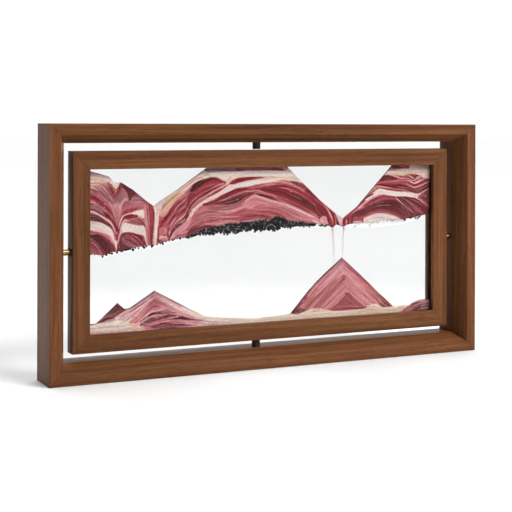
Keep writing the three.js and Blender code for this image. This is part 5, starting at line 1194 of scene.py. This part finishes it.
def rough_outline(poly, rng, gap=0.45, depth=0.22):
    """The outline in steps of about a grain, each drawn in a little by chance, and whether each point lies on a free edge. Never goes outside the solid."""
    area = 0.5 * np.sum(poly[:, 0] * np.roll(poly[:, 1], -1) - np.roll(poly[:, 0], -1) * poly[:, 1])
    if area < 0:
        poly = poly[::-1]
    out, free = [], []
    for z, a, b in zip(np.roll(poly, 1, axis=0), poly, np.roll(poly, -1, axis=0)):
        d = b - a
        length = np.hypot(*d)
        n = max(1, int(round(length / gap)))
        inward = np.array([-d[1], d[0]]) / length
        joined, was = is_shared(a, b), is_shared(z, a)
        for k in range(n):
            pull = 0.0 if joined or (k == 0 and was) else 0.03 if k == 0 else 0.03 + depth * rng.random() ** 1.5
            out.append(a + d * (k / n) + inward * pull)
            free.append(not joined and not (k == 0 and was))
    return np.array(out), np.array(free)


def carve(outline, beads):
    """Lifts the lower edge clear of the beads that sit in it."""
    for x, z, r in beads:
        near = np.flatnonzero((np.abs(outline[:, 0] - x) < r) & (np.abs(outline[:, 1] - z) < 2.2))
        for k in near:
            outline[k, 1] = max(outline[k, 1], z + math.sqrt(r * r - (outline[k, 0] - x) ** 2))


def within(outline, pts):
    inside = np.zeros(len(pts), bool)
    for a, b in zip(outline, np.roll(outline, -1, axis=0)):
        if a[1] != b[1]:
            inside ^= ((a[1] > pts[:, 1]) != (b[1] > pts[:, 1])) & (pts[:, 0] < a[0] + (pts[:, 1] - a[1]) / (b[1] - a[1]) * (b[0] - a[0]))
    return inside


def tree_of(outline, which):
    pts = []
    for k, (a, b) in enumerate(zip(outline, np.roll(outline, -1, axis=0))):
        if which[k]:
            pts += [a + (b - a) * t for t in (0.0, 1 / 3, 2 / 3)]
    tree = KDTree(len(pts))
    for k, p in enumerate(pts):
        tree.insert((p[0], p[1], 0.0), k)
    tree.balance()
    return tree


def lattice(outline, step, clear, rng):
    """Points inside the outline on a jittered lattice, none closer to it than clear."""
    lo, hi = outline.min(0), outline.max(0)
    rows = np.arange(lo[1], hi[1], step * 0.866)
    pts = []
    for r, z in enumerate(rows):
        x = np.arange(lo[0] + (step / 2 if r % 2 else 0), hi[0], step)
        pts.append(np.stack([x, np.full(len(x), z)], 1))
    pts = np.vstack(pts)
    pts += rng.uniform(-0.22, 0.22, pts.shape) * step
    pts = pts[within(outline, pts)]
    tree = tree_of(outline, np.ones(len(outline), bool))
    near = np.array([tree.find((x, z, 0.0))[2] for x, z in pts])
    return pts[near > clear]


def cap(outline, free, step, rng):
    """Triangles over the outline: points, distance of each from the free rim, faces, and where each outline point went."""
    inner = lattice(outline, step, 0.30, rng)
    n = len(outline)
    every = np.vstack([outline, inner])
    rim = [(k, (k + 1) % n) for k in range(n)]
    verts, _, faces, origin, _, _ = delaunay_2d_cdt([Vector((float(x), float(z))) for x, z in every], rim, [], 1, 1e-5, True)
    at = np.zeros(n, int)
    joined = np.zeros(len(verts), bool)
    for v, src in enumerate(origin):
        for s in src:
            if s < n:
                at[s] = v
                joined[v] = not free[s]
    pts, tris = np.array([tuple(v) for v in verts]), np.array(faces)
    tris = tris[within(outline, pts[tris].mean(1))]
    tree = tree_of(outline, free)
    away = np.array([tree.find((x, z, 0.0))[2] for x, z in pts])
    return pts, away, joined, tris.tolist(), at


def heap(node, poly, mat, seed, beads=()):
    rng = np.random.default_rng(seed)
    outline, free = rough_outline(poly, rng)
    carve(outline, beads)
    f_pts, f_far, f_joined, f_faces, f_at = cap(outline, free, 0.58, rng)
    b_pts, b_far, b_joined, b_faces, b_at = cap(outline, free, 0.95, rng)

    def edge(far, deep):   # rounds the rim over
        t = np.clip(1 - far / 0.7, 0, 1)
        return deep * (1 - np.sqrt(1 - t * t * 0.999))
    fy = FRONT + edge(f_far, 0.34) + np.where(f_joined, 0.0, 0.035 * rng.random(len(f_pts)))
    by = BACK - edge(b_far, 0.34) - np.where(b_joined, 0.0, 0.035 * rng.random(len(b_pts)))
    nf, nb, n = len(f_pts), len(b_pts), len(outline)
    rows = []
    mids = []
    for k in range(2):     # two rows of the side wall between the rims
        y = FRONT + 0.34 + (BACK - FRONT - 0.68) * (k + 1) / 3
        mids.append(np.column_stack([outline[:, 0], np.full(n, y), outline[:, 1]]))
        rows.append(nf + nb + k * n + np.arange(n))
    co = np.vstack([np.column_stack([f_pts[:, 0], fy, f_pts[:, 1]]), np.column_stack([b_pts[:, 0], by, b_pts[:, 1]]), *mids])
    faces = [tuple(f) for f in f_faces] + [tuple(nf + v for v in reversed(f)) for f in b_faces]
    chain = [f_at, *rows, nf + b_at]
    for a, b in zip(chain[:-1], chain[1:]):
        for k in range(n):
            m = (k + 1) % n
            faces.append((int(a[k]), int(b[k]), int(b[m]), int(a[m])))
    mesh = bpy.data.meshes.new(node)
    mesh.from_pydata((co * MM).tolist(), [], faces)
    mesh.update()
    seen = sample(STRATA, co[:, 0], co[:, 2])
    foot = np.clip((60 - co[:, 2]) / 20, 0, 1)[:, None] * np.clip((seen[:, 1:2] - 110) / 60, 0, 1)      # painted light: the pale sand low in the cell is made paler still, to stand against the shade that falls there under the bottom rail
    col = np.clip(albedo(seen) * (1 + 0.14 * foot), 0.003, 0.92)
    data = mesh.attributes.new("strata", "FLOAT_COLOR", "POINT")
    data.data.foreach_set("color", np.column_stack([col, np.ones(len(col))]).astype(np.float32).ravel())
    mesh.polygons.foreach_set("use_smooth", [True] * len(mesh.polygons))
    mesh.materials.append(mat)
    obj = bpy.data.objects.new(node + "_grains", mesh)
    scene.collection.objects.link(obj)
    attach(obj, "sand_frame")
    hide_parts(node)
    return obj


def sand(name):
    """Fine coloured sand behind glass: the layers' colours, grain by grain, with a rare pale sparkle."""
    g = Graph(name)
    p = g.place()
    layer = g.add("Attribute", attribute_name="strata").outputs["Color"]
    grain = g.add("TexVoronoi", {"Vector": p, "Scale": 3100.0})
    tint = g.add("SeparateColor", {0: grain.outputs["Color"]}).outputs
    col = g.mix(1.0, layer, g.ramp(tint[0], [(0.0, 0.80), (0.5, 1.0), (1.0, 1.20)]), "MULTIPLY")
    warm = g.ramp(tint[1], [(0.0, (1.05, 0.97, 0.97)), (1.0, (0.95, 1.03, 1.03))])
    col = g.mix(1.0, col, warm, "MULTIPLY")
    col = g.mix(1.0, col, g.ramp(g.noise(p, scale=1050.0, detail=3.0), [(0.3, (0.84, 0.81, 0.81)), (0.7, (1.16, 1.19, 1.19))]), "MULTIPLY")      # clumps of a few grains
    spark = g.add("TexVoronoi", {"Vector": p, "Scale": 1150.0})
    rare = g.add("SeparateColor", {0: spark.outputs["Color"]}).outputs[0]
    pale = g.math("MULTIPLY", g.math("GREATER_THAN", rare, 0.9945), g.math("LESS_THAN", spark.outputs["Distance"], 0.36))
    col = g.mix(g.math("MULTIPLY", pale, 0.55), col, (0.80, 0.68, 0.63))
    g.surface(Base_Color=col, Roughness=g.span(tint[2], 0.0, 1.0, 0.72, 0.95), Specular_IOR_Level=0.12, Normal=g.bump(grain.outputs["Distance"], 0.12, 0.00008))
    return g.mat


sand_mat = sand("sand_layers")


# ------------------------------------------------------------------ bubbles and falling threads

def balls(name, node, mat, at, size, detail, colours=None, lens=False):
    """Many small balls as one piece. at in mm, size: half widths in x, y, z."""
    bm = bmesh.new()
    bmesh.ops.create_icosphere(bm, subdivisions=detail, radius=1.0)
    unit = np.array([tuple(v.co) for v in bm.verts])
    tris = np.array([[v.index for v in f.verts] for f in bm.faces])
    bm.free()
    at, size = np.asarray(at, float), np.asarray(size, float)
    co = (at[:, None, :] + unit[None] * size[:, None, :]).reshape(-1, 3)
    faces = (tris[None] + (np.arange(len(at)) * len(unit))[:, None, None]).reshape(-1, 3)
    mesh = bpy.data.meshes.new(name)
    mesh.from_pydata((co * MM).tolist(), [], faces.tolist())
    mesh.update()
    mesh.polygons.foreach_set("use_smooth", [True] * len(mesh.polygons))
    if colours is not None:
        c = np.repeat(albedo(np.asarray(colours, float)), len(unit), axis=0)
        if lens:        # light comes through the middle of a bubble, not through its rim
            c = np.maximum(c * np.tile(0.25 + 1.5 * np.abs(unit[:, 1]) ** 3, len(at))[:, None], 0.002)
        mesh.attributes.new("strata", "FLOAT_COLOR", "POINT").data.foreach_set("color", np.column_stack([c, np.ones(len(c))]).astype(np.float32).ravel())
    mesh.materials.append(mat)
    obj = bpy.data.objects.new(name, mesh)
    scene.collection.objects.link(obj)
    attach(obj, "sand_frame")
    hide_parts(node)
    return obj


def bubble_dark(name):
    """A bubble in the liquid against a light ground: it throws the light away and looks black, a few have a grey middle."""
    g = Graph(name)
    p = g.place()
    skin = g.noise(p, scale=900.0, detail=3.0)
    tone = g.add("Attribute", attribute_name="strata").outputs["Color"]
    col = g.mix(1.0, tone, g.ramp(skin, [(0.3, 0.75), (0.7, 1.3)]), "MULTIPLY")
    g.surface(Base_Color=col, Roughness=g.span(skin, 0.3, 0.7, 0.34, 0.55), Specular_IOR_Level=0.05)
    return g.mat


def bubble_clear(name):
    """A clear bubble: a thin grey rim of painted shade, clear in the middle."""
    g = Graph(name)
    p = g.place()
    skin = g.noise(p, scale=700.0, detail=3.0)
    rim = g.add("LayerWeight", {"Blend": 0.35}).outputs["Facing"]
    fac = g.math("MULTIPLY", rim, g.span(skin, 0.3, 0.7, 0.40, 0.66))
    body = g.add("BsdfPrincipled", {"Base Color": g.ramp(skin, [(0.3, (0.22, 0.22, 0.23)), (0.7, (0.42, 0.41, 0.42))]), "Roughness": 0.15})
    clear = g.add("BsdfTransparent", {"Color": g.ramp(skin, [(0.3, (0.93, 0.94, 0.95)), (0.7, (0.985, 0.988, 0.99))])})
    both = g.add("MixShader", {0: fac, 1: clear.outputs[0], 2: body.outputs[0]})
    g.tree.links.new(both.outputs[0], g.out.inputs["Surface"])
    return g.mat


def pack(top, low, gap, rng, tries=60):
    """Centres packed between two lines, none closer than gap to another in its own layer."""
    x0, x1 = max(top[0, 0], low[0, 0]), min(top[-1, 0], low[-1, 0])
    kept = []
    cells = {}
    for layer in (0, 1):
        x = x0
        while x < x1:
            lo, hi = np.interp(x, low[:, 0], low[:, 1]), np.interp(x, top[:, 0], top[:, 1])
            for _ in range(max(1, int(tries * (hi - lo) / 10))):
                p = (x + rng.uniform(0, gap), rng.uniform(lo, hi) if hi - lo > 0.1 else (lo + hi) / 2)
                key = (layer, int(p[0] // gap), int(p[1] // gap))
                if all((p[0] - q[0]) ** 2 + (p[1] - q[1]) ** 2 >= gap * gap
                       for a in (-1, 0, 1) for b in (-1, 0, 1) for q in cells.get((layer, key[1] + a, key[2] + b), ())):
                    cells.setdefault(key, []).append(p)
                    kept.append((p[0], 1.66 if layer == 0 else 2.32, p[1]))
            x += gap
    return np.array(kept)


RAFT_LOW = xz("-77.4,113 -74,114.4 -70,115.2 -66,116.2 -60,115.8 -54,115.4 -51,117 -48,117.4 -45,116 -39,115.6 -37,118.2 -34.6,115.8 -30,116.2 -28,118 -24,118 -21,117.2 -17,118.8 -14,117 -12,118 -8,117.2 -5,118.4 0,118 3,117.4 7,116.8 9,119 13,120 17,119.4 20,118.8 25,120.5 30,120.2 34,119.9 37,120.2 41,119.4 45,119.6")
rng = np.random.default_rng(7)
black, clear = bubble_dark("bubble_dark"), bubble_clear("bubble_clear")
SITTING = []       # x, z, half width of the beads that sit in the sand's lower edge


def low_edge(x):
    return np.interp(x, UPPER_LOW[:, 0], UPPER_LOW[:, 1])


def tones(count, pale):
    """Near black for most beads, grey for some: painted shade and painted glints of bubbles."""
    v = rng.uniform(8, 24, count)
    v = np.where(rng.random(count) < pale, rng.uniform(60, 124, count), v)
    return np.column_stack([v * 1.03, v * 0.95, v * 1.03])


def beads(name, node, at, wide, pale):
    """Dark bubbles, flattened between the panes."""
    deep = np.minimum(wide, 0.80)
    y = np.clip(at[:, 1], FRONT + 0.04 + deep, BACK - 0.04 - deep)
    tall = wide * rng.uniform(0.9, 1.12, len(wide))
    balls(name, node, black, np.column_stack([at[:, 0], y, at[:, 2]]), np.column_stack([wide, deep, tall]), 2, tones(len(at), pale), True)
    for x, z, r, t in zip(at[:, 0], at[:, 2], wide, tall):
        if abs(z - low_edge(x)) < r + 0.6:
            SITTING.append((x, z, max(r, t) - 0.18))


row = []
x = -75.4
while x < 45.5:        # one row along the edge of the sand
    row.append((x, rng.uniform(1.7, 2.3), low_edge(x) - 0.95 + rng.uniform(-0.15, 0.15)))
    x += rng.uniform(0.95, 1.35)
x = -74.6
while x < 45:          # and single ones that stick up into it
    row.append((x, 2.0, low_edge(x) + rng.uniform(-0.25, 0.35)))
    x += rng.uniform(1.9, 3.6)
mid = np.vstack([
    np.array(row),
    pack(np.column_stack([RAFT_TOP[:, 0], low_edge(RAFT_TOP[:, 0]) - 1.25]), RAFT_LOW, 1.24, rng, 150),
])
hang = []
x = -66.0
while x < 42:          # single beads that hang from it
    hang.append((x, 2.0, np.interp(x, RAFT_LOW[:, 0], RAFT_LOW[:, 1]) - rng.uniform(0.4, 1.25)))
    x += rng.uniform(1.5, 3.8)
mid = np.vstack([mid, np.array(hang)])
neck = xz("45.4,120.7,0.97 49.2,119.6,0.73 50.9,119.0,1.03 52.9,119.5,1.09 54.9,118.6,1.09 56.7,119.4,1.09 51.6,120.3,0.73")
mid = np.vstack([mid, np.column_stack([neck[:, 0], np.full(len(neck), 2.0), neck[:, 1]])])
beads("bubbles_middle_beads", "bubbles_middle", mid, np.append(rng.uniform(0.84, 1.04, len(mid) - len(neck)), neck[:, 2]), 0.18)

LEFT = xz("-163.1,102.7,0.63 -160.3,102.2,0.48 -153.3,100.2,0.97 -150.0,102.0,1.16 -147.4,103.0,0.97 -145.3,102.6,1.16 -140.7,103.0,0.97 -138.0,104.1,0.68 -136.4,104.4,1.31 -134.4,105.2,0.97 -132.8,105.1,1.16 -130.8,105.5,1.07 -129.2,105.9,1.07 -126.8,104.9,1.31 -124.8,106.2,0.82 -122.0,105.9,0.82 -117.7,106.9,0.82 -116.8,106.2,1.11 -115.0,107.2,0.87 -110.0,107.0,1.11 -108.6,107.9,0.73 -105.4,108.4,0.87 -102.3,109.0,0.73 -100.2,108.9,1.11 -97.2,110.3,0.66 -94.2,110.8,0.60 -91.3,111.7,0.97 -89.4,112.1,0.63 -87.0,112.5,0.60 -84.5,112.7,1.16 -81.6,113.7,0.66 -79.6,113.8,0.73 -78.2,113.6,1.16 -76.3,114.6,0.87")
beads("bubbles_left_beads", "bubbles_left", np.column_stack([LEFT[:, 0], np.full(len(LEFT), 2.0), np.minimum(LEFT[:, 1], low_edge(LEFT[:, 0]) - 0.20)]), LEFT[:, 2], 0.08)

RIGHT = xz("143.2,123.6,0.73 144.6,123.8,0.95 145.9,122.7,0.65 146.1,124.0,0.95 147.9,124.2,0.87 149.4,124.3,0.80 151.1,122.9,1.02 151.4,124.6,0.80 153.4,124.9,0.70 154.1,123.5,0.95 153.2,122.3,0.65 155.7,124.2,0.87 156.4,125.2,0.65 139.7,121.6,0.85 138.4,121.4,0.6 137.7,120.0,0.48 67.9,119.9,0.60")
beads("bubbles_right_beads", "bubbles_right", np.column_stack([RIGHT[:, 0], np.full(len(RIGHT), 2.0), RIGHT[:, 1]]), RIGHT[:, 2], 0.08)

# clear bubbles that eat into the edge of the cream sand, and some loose ones under it
PALE = xz("101.9,118.0,1.45 99.8,119.5,0.55 103.3,119.8,0.55 104.9,120.4,0.61 85.8,117.3,1.20 87.1,117.9,0.85 91.1,119.3,0.85 94.4,119.6,0.7 97.2,119.8,0.8 107.6,120.3,1.09 110.3,119.8,0.97 112.4,120.9,0.8 114.7,121.3,1.30 116.4,120.4,1.10 118.4,121.5,1.20 120.1,120.5,1.0 122.2,121.6,1.25 125.6,120.6,0.97 128.4,121.2,1.15 131.1,120.8,1.20 133.9,121.2,1.2 136.6,121.4,1.0 88.9,119.4,0.6 106.2,118.7,0.5 109.4,118.2,0.45 113.0,118.6,0.5 123.8,118.9,0.55 127.0,118.6,0.45")
deep = np.minimum(PALE[:, 2], 0.80)
balls("bubbles_right_clear", "bubbles_right", clear, np.column_stack([PALE[:, 0], np.full(len(PALE), 2.0), PALE[:, 1]]), np.column_stack([PALE[:, 2], deep, PALE[:, 2]]), 2)
SITTING += [(x, z, s + 0.05) for x, z, s in PALE]
# small bubbles in grey on the dark bubble material: painted light, the light that comes through them
specks = xz("99.6,119.0,0.36 103.2,119.2,0.34 104.4,119.9,0.42 106.1,119.5,0.30 86.6,118.9,0.30 84.6,117.7,0.30 89.6,118.7,0.28 101.0,117.0,0.26 111.4,119.4,0.28 117.4,119.0,0.28 121.2,119.6,0.30 126.4,119.7,0.28 129.8,119.6,0.30 132.6,119.4,0.30 135.4,119.9,0.34")
v = rng.uniform(95, 150, len(specks))
balls("bubbles_right_specks", "bubbles_right", black, np.column_stack([specks[:, 0], np.full(len(specks), 2.0), specks[:, 1]]), np.repeat(specks[:, 2:], 3, axis=1), 2, np.column_stack([v, v, v * 1.02]))

for k, (node, (slot, poly)) in enumerate(HEAPS.items()):
    heap(node, poly, sand_mat, 100 + k, SITTING if node == "upper_sand" else ())


def thread(node, start, end, count, wide, head, tail):
    """Grains falling in a loose thread: close together at its top, then far apart."""
    t = rng.random(count) ** 1.6
    at = np.array(start)[None] * (1 - t[:, None]) + np.array(end)[None] * t[:, None]
    at[:, 0] += np.clip(rng.normal(0, wide * (0.7 + 0.4 * t), count), -1.7, 1.7)
    size = rng.uniform(0.10, 0.17, (count, 1)) * rng.uniform(0.8, 1.2, (count, 3))
    y = np.clip(2.0 + rng.normal(0, 0.3, count), 1.4, 2.6)
    near = np.array([SEEN[n] for n in head], float)[rng.integers(0, len(head), count)]
    fall = np.array([SEEN[n] for n in tail], float)[rng.integers(0, len(tail), count)]
    balls(node + "_grains", node, sand_mat, np.column_stack([at[:, 0], y, at[:, 1]]), size, 1, np.where(t[:, None] < 0.16, near, fall))


thread("sand_stream_left", (63.1, 116.2), (64.5, 84.4), 560, 0.90, ("blush", "pink", "shell"), ("mist", "pearl", "stone"))
thread("sand_stream_right", (74.5, 117.0), (72.9, 90.4), 470, 0.62, ("ash", "dusk", "mist"), ("mist", "stone", "pearl"))
# ------------------------------------------------------------------ floor and light

floor_mesh = bpy.data.meshes.new("floor")
R = 14.0
floor_mesh.from_pydata([(-R, -R, 0), (R, -R, 0), (R, R, 0), (-R, R, 0)], [], [(0, 1, 2, 3)])
floor = bpy.data.objects.new("floor", floor_mesh)
scene.collection.objects.link(floor)
floor.location.z = -0.0002
g = Graph("floor_pale")
paper = g.noise(g.place(), scale=30.0, detail=4.0)
far = g.add("VectorMath", {0: g.place()}, operation="LENGTH").outputs["Value"]
pale = g.ramp(g.span(far, 0.34, 2.6, 0.0, 1.0), [(0.0, 1.0), (0.13, 0.87), (0.34, 0.89), (1.0, 0.935)], "EASE")       # painted light: the floor is painted brightest within about 0.34 m of the object and a little less bright away from it, as a pool of light round the object
g.surface(Base_Color=g.mix(1.0, g.ramp(paper, [(0.3, 0.712), (0.7, 0.724)]), pale, "MULTIPLY"), Roughness=0.9, Specular_IOR_Level=0.1)
floor_mesh.materials.append(g.mat)

world = bpy.data.worlds.new("studio")
scene.world = world
world.use_nodes = True
wt = world.node_tree
wt.nodes.clear()
w_out = wt.nodes.new("ShaderNodeOutputWorld")
w_bg = wt.nodes.new("ShaderNodeBackground")
w_tc = wt.nodes.new("ShaderNodeTexCoord")
w_sep = wt.nodes.new("ShaderNodeSeparateXYZ")
wt.links.new(w_tc.outputs["Generated"], w_sep.inputs[0])


def shade_of_sky(axis, stops):
    """Brightness of the studio along one axis of the direction, from -1 to 1."""
    span = wt.nodes.new("ShaderNodeMapRange")
    span.inputs["From Min"].default_value, span.inputs["From Max"].default_value = -1.0, 1.0
    ramp = wt.nodes.new("ShaderNodeValToRGB")
    r = ramp.color_ramp
    r.interpolation = "EASE"
    while len(r.elements) < len(stops):
        r.elements.new(0.5)
    for e, (at, v) in zip(r.elements, stops):
        e.position, e.color = (at + 1) / 2, (v, v, v, 1)
    wt.links.new(w_sep.outputs[axis], span.inputs[0])
    wt.links.new(span.outputs[0], ramp.inputs[0])
    return ramp.outputs[0]


both = wt.nodes.new("ShaderNodeMix")
both.data_type, both.blend_type = "RGBA", "MULTIPLY"
both.inputs[0].default_value = 1.0
wt.links.new(shade_of_sky(1, ((-0.75, 0.27), (0.1, 0.56), (0.66, 1.0), (0.95, 1.0))), both.inputs[6])   # dim behind the camera, white behind the object
wt.links.new(shade_of_sky(0, ((-0.75, 0.34), (0.08, 1.0), (0.9, 1.0))), both.inputs[7])                 # darker to the left
wt.links.new(both.outputs[2], w_bg.inputs[0])
wt.links.new(w_bg.outputs[0], w_out.inputs[0])
w_bg.inputs[1].default_value = 1.04


def aim(obj, towards):
    obj.rotation_euler = Vector(towards).to_track_quat("Z", "Y").to_euler()


def lamp(name, towards, energy, angle):
    """A broad soft source, far off."""
    data = bpy.data.lights.new(name, "SUN")
    data.energy, data.angle = energy, math.radians(angle)
    obj = bpy.data.objects.new(name, data)
    scene.collection.objects.link(obj)
    aim(obj, towards)


def softbox(name, at, size, power):
    """A square softbox that faces the object."""
    data = bpy.data.lights.new(name, "AREA")
    data.shape, data.size, data.energy = "SQUARE", size, power
    obj = bpy.data.objects.new(name, data)
    scene.collection.objects.link(obj)
    obj.location = at
    aim(obj, Vector(at) - Vector((0, 0, 0.1)))


lamp("key", (0.337, -0.662, 0.669), 2.2, 26)
softbox("side", (1.30, -1.44, 1.13), 1.2, 33)
lamp("back", (0.0, 0.5, 1.0), 1.75, 60)
